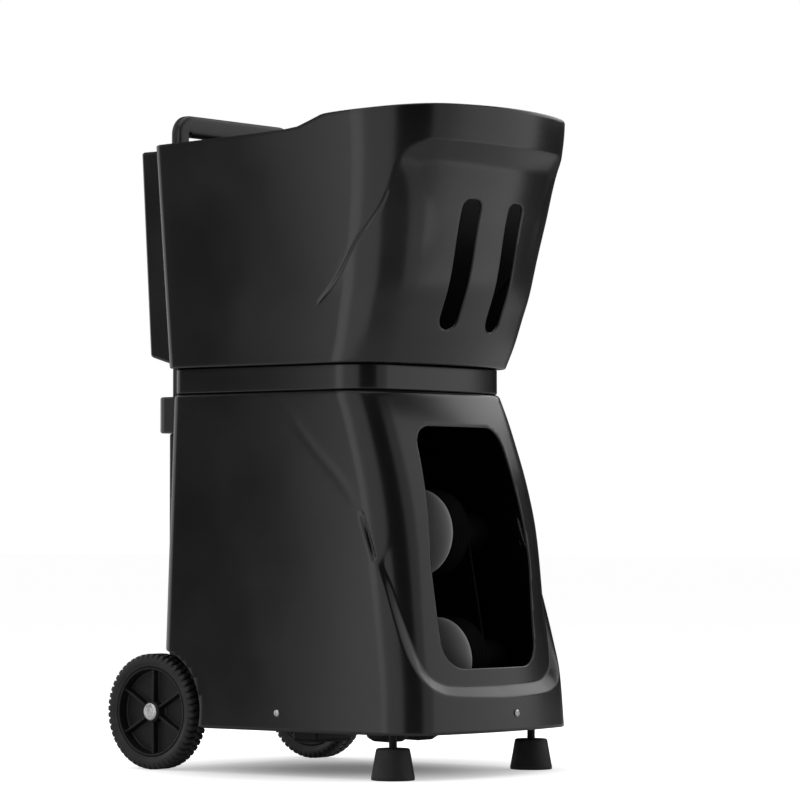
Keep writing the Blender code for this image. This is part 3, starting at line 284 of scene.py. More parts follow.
def thicken(points, faces, wall, steps=4):
    """Gives an open surface a wall on its inner side, with full round edges."""
    count = len(points)
    corner = points[faces]
    face_normal = np.cross(corner[:, 2] - corner[:, 0], corner[:, 3] - corner[:, 1])
    normal = np.zeros_like(points)
    for k in range(4):
        np.add.at(normal, faces[:, k], face_normal)
    normal /= np.maximum(np.linalg.norm(normal, axis=1), 1e-12)[:, None]
    start = faces.ravel()
    end = np.roll(faces, -1, 1).ravel()
    real = start != end
    lone = real & ~np.isin(end * count + start, (start * count + end)[real])
    a, b = start[lone], end[lone]
    outward = np.zeros_like(points)
    across = np.cross(points[b] - points[a], normal[a] + normal[b])
    across /= np.maximum(np.linalg.norm(across, axis=1), 1e-12)[:, None]
    np.add.at(outward, a, across)
    np.add.at(outward, b, across)
    edge = np.unique(np.concatenate([a, b]))
    n, out = normal[edge], outward[edge]
    out -= n * (out * n).sum(1)[:, None]
    out /= np.maximum(np.linalg.norm(out, axis=1), 1e-12)[:, None]
    layers, spots = [points, points - normal * wall], []
    where = np.zeros(count, int)
    where[edge] = np.arange(len(edge))
    for k in range(1, steps):
        turn = math.pi * k / steps
        layers.append(points[edge] + n * (wall / 2 * (math.cos(turn) - 1))
                      + out * (wall / 2 * math.sin(turn)))
    for k in range(steps + 1):
        if k == 0:
            spots.append((a, b))
        elif k == steps:
            spots.append((a + count, b + count))
        else:
            first = 2 * count + (k - 1) * len(edge)
            spots.append((first + where[a], first + where[b]))
    made = [faces, faces[:, ::-1] + count]
    made += [np.stack([b0, a0, a1, b1], 1) for (a0, b0), (a1, b1) in zip(spots, spots[1:])]
    return np.vstack(layers), made


AXIS_TURN = {
    "X": Matrix.Rotation(math.pi / 2, 3, "Y"),
    "-X": Matrix.Rotation(-math.pi / 2, 3, "Y"),
    "Y": Matrix.Rotation(-math.pi / 2, 3, "X"),
    "-Y": Matrix.Rotation(math.pi / 2, 3, "X"),
    "Z": Matrix.Identity(3),
}


def turned(name, profile, look, body, slot, stands_for, axis="Z", centre=(0, 0, 0), steps=96,
           ring=False, shape=None):
    """A turned piece. The profile is (radius, height); shape may change both with the angle."""
    radius, height = np.array(profile, float).T
    angle = np.arange(steps) * 2 * math.pi / steps
    radius, angle = np.meshgrid(radius, angle, indexing="ij")
    height = np.repeat(height[:, None], steps, 1)
    if shape:
        radius, height = shape(angle, radius, height)
    flat = np.stack([radius * np.cos(angle), radius * np.sin(angle), height], 2).reshape(-1, 3)
    points = flat @ np.array(AXIS_TURN[axis]).T + np.array(centre)
    faces = grid_faces(len(profile), steps, wrap_rows=ring)[:, ::-1]
    made = [faces]
    if not ring:
        made.append(np.arange(steps)[None, :])
        made.append((np.arange(steps) + (len(profile) - 1) * steps)[None, ::-1])
    return add(name, points, made, look, body, slot, stands_for)


# ---------------------------------------------------------------- body sections

FRONT, CORNER, SIDE, REAR_CORNER, REAR = range(5)


def columns(plan):
    """Places round half an outline from (part, from, to, count): each part and the share of it."""
    part, share = [], []
    for which, low, high, count in plan:
        count = max(int(count * FINE / 2), 2)
        part += [which] * count
        share += [low + (high - low) * k / count for k in range(count)]
    return np.array(part + [REAR]), np.array(share + [1.0])


def section(width, front, corner, arc, rear_corner, places, rear=BACK_WALL):
    """A whole body section at each place: x, y, outward direction and distance round."""
    part, f = places
    width, front, corner = (np.asarray(v, float) for v in (width, front, corner))
    turn = np.arcsin((width - corner) / (arc - corner))
    corner_y = arc - front - (arc - corner) * np.cos(turn)
    on_front, on_corner = turn * f, turn + (math.pi / 2 - turn) * f
    on_rear = math.pi / 2 * f
    side_length = rear - rear_corner - corner_y
    to_side = arc * turn + corner * (math.pi / 2 - turn)
    one, zero = np.ones_like(turn * f), np.zeros_like(turn * f)

    def pick(*values):
        return np.select([part == k for k in range(5)], [v + zero for v in values])

    x = pick(arc * np.sin(on_front), width - corner + corner * np.sin(on_corner), width,
             width - rear_corner + rear_corner * np.cos(on_rear), (width - rear_corner) * (1 - f))
    y = pick(arc - front - arc * np.cos(on_front), corner_y - corner * np.cos(on_corner),
             corner_y + side_length * f, rear - rear_corner + rear_corner * np.sin(on_rear), rear)
    nx = pick(np.sin(on_front), np.sin(on_corner), one, np.cos(on_rear), zero)
    ny = pick(-np.cos(on_front), -np.cos(on_corner), zero, np.sin(on_rear), one)
    s = pick(arc * on_front, arc * turn + corner * (on_corner - turn), to_side + side_length * f,
             to_side + side_length + rear_corner * on_rear,
             to_side + side_length + rear_corner * math.pi / 2 + (width - rear_corner) * f)
    made = []
    for values, sign in ((x, -1), (y, 1), (nx, -1), (ny, 1), (s, 1)):
        made.append(np.concatenate([values, sign * values[:, -2:0:-1]], 1))
    return made


def stack(x, y, z):
    return np.stack([x, y, z + np.zeros_like(x)], 2)


def base_section(z, places):
    part_up = (z - BASE_BOTTOM) / (BASE_TOP - BASE_BOTTOM)
    width = BASE_HALF_WIDTH_BOTTOM + (BASE_HALF_WIDTH_TOP - BASE_HALF_WIDTH_BOTTOM) * part_up
    return section(width, along(BASE_FRONT, z), BASE_CORNER + 0 * z, BASE_FRONT_ARC,
                   BASE_REAR_CORNER, places)


def build_base(look):
    places = columns([(FRONT, 0, 1, 34), (CORNER, 0, 1, 46), (SIDE, 0, 0.30, 38),
                      (SIDE, 0.30, 1, 24), (REAR_CORNER, 0, 1, 12), (REAR, 0, 1, 8)])
    lowest = BASE_BOTTOM + WALL / 2
    stretches = [(lowest, 0.070, 9), (0.070, 0.130, 44), (0.130, 0.300, 66),
                 (0.300, BASE_TOP - BASE_SHOULDER, 26)]
    heights = np.concatenate([np.linspace(a, b, int(n * FINE / 2), endpoint=False)
                              for a, b, n in stretches])
    shoulder = np.linspace(0, math.pi / 2, 6)
    z = np.concatenate([heights, BASE_TOP - BASE_SHOULDER * (1 - np.sin(shoulder)),
                        np.full(3, BASE_TOP)])[:, None]
    inset = np.concatenate([0 * heights, BASE_SHOULDER * (1 - np.cos(shoulder)),
                            np.linspace(BASE_SHOULDER, BASE_FLANGE - WALL / 2, 4)[1:]])[:, None]
    x, y, nx, ny, s = base_section(z, places)

    tall = z + 0 * s
    near, side, _ = line_distance(spline(SCOOP_EDGE), s, tall)
    inside = np.where(side < 0, near, -near)
    above = tall > SCOOP_EDGE[-1][1]
    inside = np.where(above, SCOOP_EDGE[-1][0] - s, inside)
    fade = smooth((SCOOP_FADE_FROM - tall) / (SCOOP_FADE_FROM - SCOOP_FADE_TO))
    narrow = SCOOP_NARROW * smooth((tall - SCOOP_NARROW_FROM) / SCOOP_NARROW_RISE)
    widen = SCOOP_WIDEN * smooth((tall - SCOOP_WIDEN_FROM) / SCOOP_WIDEN_RISE)
    soft = SCOOP_SLOPE * (1 - narrow + widen)
    press = SCOOP_DEPTH * fade * slope(inside / soft, SCOOP_KNEE)
    near, _, share = line_distance(spline(SLIT), s, tall)
    press += SLIT_DEPTH * np.exp(-(near / SLIT_WIDTH) ** 2) * np.sin(math.pi * share) ** 0.7
    near, _, share = line_distance(spline(FOLD), s, tall)
    press -= FOLD_DEPTH * np.exp(-(near / FOLD_WIDTH) ** 2) * np.sin(math.pi * share)
    press += inset

    window = rounded(WINDOW_SIDE + [(-a, b) for a, b in WINDOW_SIDE[::-1]],
                     WINDOW_RADII + WINDOW_RADII[::-1], 10)
    points = stack(x - nx * press, y - ny * press, tall)
    keep = np.where(points[..., 1] < WINDOW_ZONE,
                    outline_distance(window, points[..., 0], tall) - WALL / 2, 1.0)
    from_axle = np.hypot(points[..., 1] - AXLE_Y, tall - AXLE_Z) - ARCH_RADIUS - WALL / 2
    keep = np.minimum(keep, np.maximum(from_axle, ARCH_X - WALL / 2 - abs(points[..., 0])))
    add("base_shell_look", *thicken(*trim(points, keep), WALL), look, "chassis", "shell_plastic",
        ["base_shell"])


def build_hopper(look):
    places = columns([(FRONT, 0, 1, 30), (CORNER, 0, 0.45, 18), (CORNER, 0.45, 1, 56),
                      (SIDE, 0, 0.15, 38), (SIDE, 0.15, 1, 14), (REAR_CORNER, 0, 1, 10),
                      (REAR, 0, 1, 4)])
    top = np.array([[HOPPER_RIM]])
    rim_y = section(HOPPER_HALF_WIDTH_RIM + 0 * top, along(HOPPER_FRONT, top),
                    HOPPER_CORNER_RIM + 0 * top, HOPPER_FRONT_ARC, HOPPER_REAR_CORNER, places)[1]
    rim = along(RIM_HEIGHT, rim_y) - WALL / 2
    foot = 0.0016
    stretches = [(0.0, 0.20, 18), (0.20, 0.64, 68), (0.64, 0.88, 38), (0.88, 1.0, 10)]
    steps = np.concatenate([np.linspace(a, b, int(n * FINE / 2), endpoint=False)
                            for a, b, n in stretches] + [[1.0]])[:, None]
    turn = np.linspace(-math.pi / 2, 0, 5)[:-1]
    low = np.concatenate([[HOPPER_BOTTOM], HOPPER_BOTTOM + foot * (1 + np.sin(turn))])[:, None]
    z = np.vstack([low + 0 * rim, HOPPER_BOTTOM + foot + (rim - HOPPER_BOTTOM - foot) * steps])
    inset = np.concatenate([[HOPPER_FLANGE - WALL / 2], foot * (1 - np.cos(turn)),
                            np.zeros(len(steps))])[:, None]
    half = z[:, :len(places[0])]
    part_up = (half - HOPPER_BOTTOM) / (HOPPER_RIM - HOPPER_BOTTOM)
    width = HOPPER_HALF_WIDTH_BOTTOM + (HOPPER_HALF_WIDTH_RIM - HOPPER_HALF_WIDTH_BOTTOM) * part_up
    corner = HOPPER_CORNER_BOTTOM + (HOPPER_CORNER_RIM - HOPPER_CORNER_BOTTOM) * part_up
    x, y, nx, ny, s = section(width, along(HOPPER_FRONT, half), corner, HOPPER_FRONT_ARC,
                              HOPPER_REAR_CORNER, places)

    near, side, _ = line_distance(spline(PANEL_EDGE), s, z)
    inside = np.where(side > 0, near, -near)
    up = smooth((z - PANEL_FADE_FROM) / (PANEL_FADE_TO - PANEL_FADE_FROM))
    soft = PANEL_SLOPE + PANEL_SPREAD * smooth((PANEL_SPREAD_FROM - z)
                                               / (PANEL_SPREAD_FROM - PANEL_SPREAD_TO))
    within = (z > PANEL_EDGE[-1][1]) & (z < PANEL_EDGE[0][1] + 0.001)
    press = np.where(within, PANEL_DEPTH * up * slope(inside / soft, PANEL_KNEE), 0.0)
    share = np.clip((z - CREASE_FROM) / (CREASE_TO - CREASE_FROM), 0, 1)
    press += (CREASE_DEPTH * np.exp(-(near / CREASE_WIDTH) ** 2)
              * np.sqrt(np.sin(math.pi * share)) * (s > CREASE_START))
    press += inset

    points = stack(x - nx * press, y - ny * press, z)
    keep = np.full(z.shape, 1.0)
    for middle in (-SLOT_X, SLOT_X):
        low, high = middle - SLOT_WIDTH / 2, middle + SLOT_WIDTH / 2
        slot = rounded([(low, SLOT_BOTTOM), (high, SLOT_BOTTOM), (high, SLOT_TOP),
                        (low, SLOT_TOP)], SLOT_RADII, 8)
        away = outline_distance(np.array(slot), points[..., 0], z) - WALL / 2
        keep = np.where(points[..., 1] < SLOT_ZONE, np.minimum(keep, away), keep)
    add("hopper_shell_look", *thicken(*trim(points, keep), WALL), look, "chassis",
        "shell_plastic", ["hopper_shell"])


def build_neck(look):
    places = columns([(FRONT, 0, 1, 30), (CORNER, 0, 1, 30), (SIDE, 0, 1, 24),
                      (REAR_CORNER, 0, 1, 12), (REAR, 0, 1, 8)])
    low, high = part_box("neck_ring")
    z = np.linspace(low.z + NECK_WALL / 2, high.z - NECK_WALL / 2, 7)[:, None]
    flat = 0 * z
    x, y, _, _, _ = section(NECK_HALF_WIDTH + flat, NECK_FRONT + flat, BASE_CORNER + flat,
                            BASE_FRONT_ARC, BASE_REAR_CORNER, places, BACK_WALL - 0.0015)
    points = stack(x, y, z)
    add("neck_ring_look", *thicken(points.reshape(-1, 3), grid_faces(*x.shape), NECK_WALL, 8),
        look, "chassis", "shell_plastic", ["neck_ring"])


# ---------------------------------------------------------------- wheels

def build_tyres(look):
    lugs, groove = 52, 0.0024
    half, bead = 0.0140, 0.0492

    def tread(angle, radius, height):
        """Blocks in two staggered rows, with a groove between neighbours and one round the middle."""
        turn = angle / (2 * math.pi) * lugs + np.where(height > 0, 0.5, 0.0)
        turn += 0.35 * abs(height) / half
        away = abs(turn - np.floor(turn) - 0.5) * 2
        gap = slope((away - 0.58) / 0.22, 0.2)
        middle = 1 - slope((abs(height) - 0.0007) / 0.0009, 0.2)
        outer = slope((radius - 0.0555) / 0.0040, 0.2)
        return radius - groove * outer * np.maximum(gap, 0.8 * middle), height

    side = [(bead, 0.0110), (0.0500, 0.0116), (0.0512, 0.0124), (0.0519, 0.0124),
            (0.0524, 0.0130), (0.0545, 0.0137), (0.0556, half), (0.0570, half), (0.0588, half),
            (0.0606, 0.0134), (0.0620, 0.0124), (0.0629, 0.0112), (0.0634, 0.0098)]
    across = [(TYRE_RADIUS, x) for x in (0.0090, 0.0070, 0.0045, 0.0025, 0.0018, 0.0010, 0.0004)]
    outside = side + across
    profile = outside + [(r, -x) for r, x in outside[::-1]]
    for name, axis, centre in WHEELS:
        turned(f"{name}_wheel_tyre_look", profile, look, f"{name}_wheel", "tyre",
               [f"{name}_wheel_tyre"], axis, centre, lugs * 8 * FINE, True, tread)


def build_rims(look):
    ribs, rib_half, rib_top = 6, 0.0014, 0.0078
    dish, hub_top, hub_radius, lip = 0.0005, 0.0105, 0.0115, 0.0455

    def ribbed(angle, radius, height):
        """Lifts the ribs out of the dished face, with soft feet."""
        pitch = 2 * math.pi / ribs
        off = (angle / pitch - np.round(angle / pitch)) * pitch
        away = abs(np.sin(off)) * radius
        rib = 1 - slope((away - rib_half) / 0.0011, 0.3)
        on_face = (height > -0.0030) & (radius > hub_radius) & (radius < lip + 0.0012)
        return radius, np.where(on_face, np.maximum(height, dish + (rib_top - dish) * rib), height)

    face = [(0.0054, 0.0096), (0.0058, 0.0103), (0.0064, hub_top), (0.0100, hub_top),
            (0.0110, 0.0101), (hub_radius, 0.0090), (0.0119, 0.0020), (0.0126, 0.0008)]
    face += [(0.0134 + (lip - 0.0144) * k / 22, dish) for k in range(23)]
    face += [(0.0448, 0.0008), (0.0453, 0.0020), (0.0461, 0.0100), (0.0465, 0.0110),
             (0.0470, 0.0115), (0.0482, 0.0115), (0.0487, 0.0111), (0.0489, 0.0104)]
    back = [(0.0489, -0.0110), (0.0484, -0.0115), (0.0460, -0.0115), (0.0455, -0.0110),
            (0.0455, -0.0040), (0.0450, -0.0035), (0.0125, -0.0035), (0.0120, -0.0040),
            (0.0120, -0.0120), (0.0115, -0.0125), (0.0058, -0.0125), (0.0054, -0.0120)]
    for name, axis, centre in WHEELS:
        turned(f"{name}_wheel_rim_look", face + back, look, f"{name}_wheel", "trim_plastic",
               [f"{name}_wheel_rim"], axis, centre, 180 * FINE, True, ribbed)


def build_caps(look):
    """The bright caps on the axle's ends."""
    profile = eased([(0.0003, 0.0141), (0.0042, 0.0139), (0.0046, 0.0134), (0.0052, 0.0137),
                     (0.0078, 0.0134), (0.0095, 0.0121), (0.0095, 0.0109), (0.0003, 0.0109)],
                    0.0004)
    for name, axis, centre in WHEELS:
        turned(f"{name}_axle_cap", profile, look, "chassis", "steel", [f"{name}_axle_nut"],
               axis, centre, 64)


def build_feet(rubber, metal):
    pitch, depth = 0.00125, 0.0004

    def thread(angle, radius, height):
        turn = height / pitch + angle / (2 * math.pi)
        wave = abs(2 * (turn - np.floor(turn)) - 1)
        return radius - depth * wave * (radius > 0.004), height

    for name in ("left", "right"):
        low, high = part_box(f"{name}_foot_pad")
        x, y = (low.x + high.x) / 2, (low.y + high.y) / 2
        height = high.z
        cone = eased([(0.0049, 0.0200), (0.0049, height - 0.0004), (0.0080, height - 0.0010),
                      (0.0086, height), (0.0168, height), (0.0180, height - 0.0015),
                      (0.0226, 0.0052), (0.0230, 0.0040), (0.0230, 0.0003), (0.0222, 0.0),
                      (0.0003, 0.0)], 0.0007)
        bore = [(0.0003, 0.0200)]
        turned(f"{name}_foot_pad_look", bore + list(cone), rubber, f"{name}_foot", "rubber",
               [f"{name}_foot_pad"], "Z", (x, y, 0), 72)
        low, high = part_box(f"{name}_foot_stem")
        rows = int((high.z - low.z) / pitch * 4 * FINE)
        rod = [(0.0045, high.z + (low.z - high.z) * k / rows) for k in range(rows + 1)]
        turned(f"{name}_foot_stem_look", [(0.0003, high.z)] + rod + [(0.0003, low.z)], metal,
               f"{name}_foot", "dark_metal", [f"{name}_foot_stem"], "Z", (x, y, 0), 24, False,
               thread)


# ---------------------------------------------------------------- launcher wheels

def build_launch_wheels(cap, rubber):
    profile = eased([(0.0003, 0.0392), (0.0032, 0.0392), (0.0032, 0.0160), (0.0100, 0.0150),
                     (0.0100, 0.0090), (0.0300, 0.0090), (0.0300, -0.0153), (0.0466, -0.0153)],
                    0.0005)
    dome = [(0.0470 * math.cos(a), -0.0158 - 0.0097 * math.sin(a))
            for a in np.linspace(0.02, math.pi / 2 - 0.01, 26)]
    groove = 0.0007

    def fine_grooves(angle, radius, height):
        return radius - np.where(radius > 0.0470, groove * np.cos(height * 2400) ** 8, 0.0), height

    flat = np.linspace(0.0115, -0.0115, 40)
    tread = [(0.0303, 0.0145), (0.0440, 0.0149), (0.0462, 0.0140), (0.0472, 0.0126)]
    ring = tread + [(0.0475, x) for x in flat] + [(r, -x) for r, x in tread[::-1]]
    for name in ("upper", "lower"):
        low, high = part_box(f"{name}_wheel_tread")
        centre = (0, (low.y + high.y) / 2, (low.z + high.z) / 2)
        body = f"{name}_launch_wheel"
        turned(f"{name}_wheel_hub_look", list(profile) + dome, cap, body, "trim_plastic",
               [f"{name}_wheel_hub"], "X", centre, 96)
        # The tread takes the black rubber that is darkened further as painted shade.
        turned(f"{name}_wheel_tread_look", ring, rubber, body, "rubber",
               [f"{name}_wheel_tread"], "X", centre, 96, True, fine_grooves)


# ---------------------------------------------------------------- screws

def build_screws(look):
    """Pan heads with a cross recess."""
    def crossed(angle, radius, height):
        along_x, along_y = abs(radius * np.cos(angle)), abs(radius * np.sin(angle))
        arm = np.minimum(along_x, along_y)
        reach = np.maximum(along_x, along_y)
        cut = (1 - slope((arm - 0.00035) / 0.0002)) * (1 - slope((reach - 0.0019) / 0.0003))
        return radius, np.where(height > 0.0012, height - 0.0009 * cut, height)

    head = [(0.0038 * math.sin(a), 0.0004 + 0.0020 * math.cos(a))
            for a in np.linspace(0.02, math.pi / 2, 20)]
    profile = head + [(0.0038, 0.0002), (0.0018, 0.0002), (0.0018, -0.0040), (0.0003, -0.0040)]
    for name, axis in (("left_side_screw", "-X"), ("right_side_screw", "X"),
                       ("front_screw", "-Y")):
        low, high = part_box(name)
        middle = (low + high) / 2
        reach = 0.0024
        centre = {"-X": (low.x + reach, middle.y, middle.z),
                  "X": (high.x - reach, middle.y, middle.z),
                  "-Y": (middle.x, low.y + reach, middle.z)}[axis]
        turned(f"{name}_look", profile, look, "chassis", "steel", [name], axis, centre, 64,
               False, crossed)


# ---------------------------------------------------------------- handle and rear box

def build_grip(look):
    """One bar bent into a U, thicker where the hand holds it."""
    low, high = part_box("handle_grip")
    middle_y = (low.y + high.y) / 2
    depth = high.y - low.y
    leg, bar, bend = 0.018, 0.024, 0.022
    corner = (high.x - bend, high.z - bend)
    path = [(high.x - leg / 2, z, leg, 0.0) for z in np.linspace(low.z, corner[1], 8)]
    for a in np.linspace(0, math.pi / 2, 13)[1:]:
        thick = leg + (bar - leg) * smooth(a / (math.pi / 2))
        reach = bend - thick / 2
        path.append((corner[0] + reach * math.cos(a), corner[1] + reach * math.sin(a), thick, a))
    path += [(x, high.z - bar / 2, bar, math.pi / 2) for x in np.linspace(corner[0], 0, 12)[1:]]
    path += [(-x, z, thick, math.pi - a) for x, z, thick, a in path[-2::-1]]
    rows = []
    turns = np.linspace(0, 2 * math.pi, 40, endpoint=False)
    power = 0.45
    across = np.sign(np.cos(turns)) * abs(np.cos(turns)) ** power / 2
    deep = np.sign(np.sin(turns)) * abs(np.sin(turns)) ** power / 2
    for x, z, thick, a in path:
        rows.append(np.stack([x + thick * across * math.cos(a), middle_y - depth * deep,
                              z + thick * across * math.sin(a)], 1))
    points = np.array(rows)
    count = points.shape[1]
    made = [grid_faces(len(rows), count)[:, ::-1], np.arange(count)[None, :],
            (np.arange(count) + (len(rows) - 1) * count)[None, ::-1]]
    add("handle_grip_look", points, made, look, "handle", "trim_plastic", ["handle_grip"])


# ---------------------------------------------------------------- materials

class Look:
    """A Principled material and the few nodes that most of them share."""

    def __init__(self, name, colour, roughness, metallic=0.0):
        self.material = bpy.data.materials.new(name)
        self.material.use_nodes = True
        self.tree = self.material.node_tree
        self.shader = self.tree.nodes["Principled BSDF"]
        self.shader.inputs["Base Color"].default_value = (*colour, 1)
        self.shader.inputs["Roughness"].default_value = roughness
        self.shader.inputs["Metallic"].default_value = metallic
        self.colour, self.roughness = colour, roughness
        self.place = self.tree.nodes.new("ShaderNodeTexCoord").outputs["Object"]
        self.bumped = None

    def link(self, a, b):
        self.tree.links.new(a, b)

    def noise(self, scale, detail=3.0, stretch=None):
        """Noise over the piece, with scale in waves a metre."""
        made = self.tree.nodes.new("ShaderNodeTexNoise")
        made.inputs["Scale"].default_value = scale
        made.inputs["Detail"].default_value = detail
        place = self.place
        if stretch:
            mapping = self.tree.nodes.new("ShaderNodeMapping")
            mapping.inputs["Scale"].default_value = stretch
            self.link(place, mapping.inputs["Vector"])
            place = mapping.outputs["Vector"]
        self.link(place, made.inputs["Vector"])
        return made.outputs["Fac"]

    def ranged(self, value, low, high, from_low=0.3, from_high=0.7):
        """A value stretched to run from low to high."""
        made = self.tree.nodes.new("ShaderNodeMapRange")
        made.inputs["From Min"].default_value = from_low
        made.inputs["From Max"].default_value = from_high
        made.inputs["To Min"].default_value = low
        made.inputs["To Max"].default_value = high
        self.link(value, made.inputs["Value"])
        return made.outputs["Result"]

    def bump(self, value, strength, distance):
        made = self.tree.nodes.new("ShaderNodeBump")
        made.inputs["Strength"].default_value = strength
        made.inputs["Distance"].default_value = distance
        self.link(value, made.inputs["Height"])
        if self.bumped:
            self.link(self.bumped, made.inputs["Normal"])
        self.bumped = made.outputs["Normal"]
        self.link(self.bumped, self.shader.inputs["Normal"])

    def vary_roughness(self, value, spread):
        self.link(self.ranged(value, self.roughness - spread, self.roughness + spread),
                  self.shader.inputs["Roughness"])

    def vary_colour(self, value, other, low=0.35, high=0.7):
        """Blends the colour with another one where value is high."""
        made = self.tree.nodes.new("ShaderNodeMix")
        made.data_type = "RGBA"
        made.inputs["A"].default_value = (*self.colour, 1)
        made.inputs["B"].default_value = (*other, 1)
        self.link(self.ranged(value, 0.0, 1.0, low, high), made.inputs["Factor"])
        self.link(made.outputs["Result"], self.shader.inputs["Base Color"])

    def raised(self):
        """Where edges stand out, so that wear can sit there."""
        return self.tree.nodes.new("ShaderNodeNewGeometry").outputs["Pointiness"]


def plastic(name, colour, roughness, grain=1400.0, shine=0.5):
    """Moulded plastic: fine spark grain, soft handling marks and paler edges."""
    look = Look(name, colour, roughness)
    look.shader.inputs["Specular IOR Level"].default_value = shine
    look.vary_roughness(look.noise(9.0, 4.0), 0.035)
    look.vary_colour(look.raised(), [c * 1.5 + 0.002 for c in colour], 0.54, 0.62)
    look.bump(look.noise(grain, 2.0), 0.35, 0.00005)
    look.bump(look.noise(14.0, 2.0), 0.05, 0.0006)
    return look.material


def rubber_look(name, colour, roughness, shine=0.35):
    """Rubber: matte, dusty in places, with a fine open grain."""
    look = Look(name, colour, roughness)
    look.shader.inputs["Specular IOR Level"].default_value = shine
    look.vary_roughness(look.noise(30.0, 5.0), 0.06)
    look.vary_colour(look.noise(55.0, 6.0), [c * 2.2 for c in colour], 0.45, 0.75)
    look.bump(look.noise(2200.0, 3.0), 0.4, 0.00006)
    return look.material


def metal_look(name, colour, roughness):
    """Brushed metal, its fine lines crossing the Z axis."""
    look = Look(name, colour, roughness, 1.0)
    lines = look.noise(60.0, 5.0, (1, 1, 60))
    look.vary_roughness(lines, 0.08)
    look.vary_colour(look.noise(40.0, 4.0), [c * 0.82 for c in colour], 0.4, 0.7)
    look.bump(lines, 0.12, 0.00004)
    return look.material


def painted_look(name, colour, roughness, shine=0.5):
    """Dark painted metal, and dark metal made darker still as painted shade for the parts deep inside."""
    look = Look(name, colour, roughness)
    look.shader.inputs["Specular IOR Level"].default_value = shine
    look.vary_roughness(look.noise(45.0, 5.0), 0.07)
    look.vary_colour(look.raised(), [c * 6 for c in colour], 0.57, 0.68)
    look.bump(look.noise(1600.0, 2.0), 0.25, 0.00005)
    return look.material


def board_look():
    look = Look("board_laminate", (0.012, 0.085, 0.035), 0.42)
    look.vary_colour(look.noise(420.0, 1.0, (1, 1, 0.15)), (0.025, 0.15, 0.07), 0.5, 0.56)
    look.bump(look.noise(420.0, 1.0, (1, 1, 0.15)), 0.3, 0.0001)
    return look.material


def lens_look():
    look = Look("status_lens", (0.02, 0.30, 0.07), 0.12)
    look.shader.inputs["Coat Weight"].default_value = 0.5
    look.vary_colour(look.noise(600.0, 2.0), (0.04, 0.42, 0.12), 0.4, 0.6)
    return look.material


SHELL_LOOK = plastic("shell_plastic", (0.0050, 0.0050, 0.0054), 0.23)
TRIM_LOOK = plastic("trim_plastic", (0.0055, 0.0055, 0.0058), 0.36, 1800.0)
RIM_LOOK = plastic("rim_plastic", (0.0048, 0.0048, 0.0050), 0.42, 1800.0, 0.30)
INNER_LOOK = plastic("inner_plastic", (0.0065, 0.0065, 0.0070), 0.55, 1800.0)
CAP_LOOK = plastic("launch_wheel_plastic", (0.330, 0.330, 0.335), 0.60, 1600.0, 0.3)
TYRE_LOOK = rubber_look("tyre_rubber", (0.0085, 0.0085, 0.0085), 0.50)
RUBBER_LOOK = rubber_look("soft_rubber", (0.012, 0.012, 0.012), 0.60)
# The launch wheels' treads: black rubber, made darker and duller still as painted shade, since they sit
# deep inside the window.
TREAD_SHADE_LOOK = rubber_look("tread_rubber_darkened_as_painted_shade", (0.0012, 0.0012, 0.0012), 0.85, 0.05)
STEEL_LOOK = metal_look("steel", (0.60, 0.60, 0.61), 0.34)
DARK_LOOK = painted_look("dark_metal", (0.005, 0.005, 0.0055), 0.45)
# The metal parts deep inside: dark metal made near-black and barely reflective as painted shade, since
# only shade reaches them.
INSIDE_SHADE_LOOK = painted_look("metal_darkened_as_painted_shade", (0.0015, 0.0015, 0.0016), 0.70, 0.06)

BY_SLOT = {"shell_plastic": SHELL_LOOK, "trim_plastic": TRIM_LOOK, "inner_plastic": INNER_LOOK,
           "tyre": TYRE_LOOK, "rubber": RUBBER_LOOK, "steel": STEEL_LOOK,
           "dark_metal": DARK_LOOK, "board": board_look(), "lens": lens_look()}
# These inside parts take the metal darkened as painted shade in place of their own dark metal.
INSIDE_METAL = ("launcher_frame", "tilt_yoke", "tilt_motor", "yaw_turntable", "yaw_motor",
                "upper_wheel_motor", "lower_wheel_motor", "feed_motor", "battery_strap")
for row in frame["record"]["subparts"]:
    node = frame["nodes"][row["node"]]
    inside = row["node"] in INSIDE_METAL
    node.data.materials.clear()
    node.data.materials.append(INSIDE_SHADE_LOOK if inside else BY_SLOT[row["material_slot"]])

build_base(SHELL_LOOK)
build_hopper(SHELL_LOOK)
build_neck(SHELL_LOOK)
build_tyres(TYRE_LOOK)
build_rims(RIM_LOOK)
build_caps(STEEL_LOOK)
build_feet(RUBBER_LOOK, DARK_LOOK)
build_launch_wheels(CAP_LOOK, TREAD_SHADE_LOOK)
build_screws(STEEL_LOOK)
build_grip(TRIM_LOOK)


# ---------------------------------------------------------------- stage, light and camera

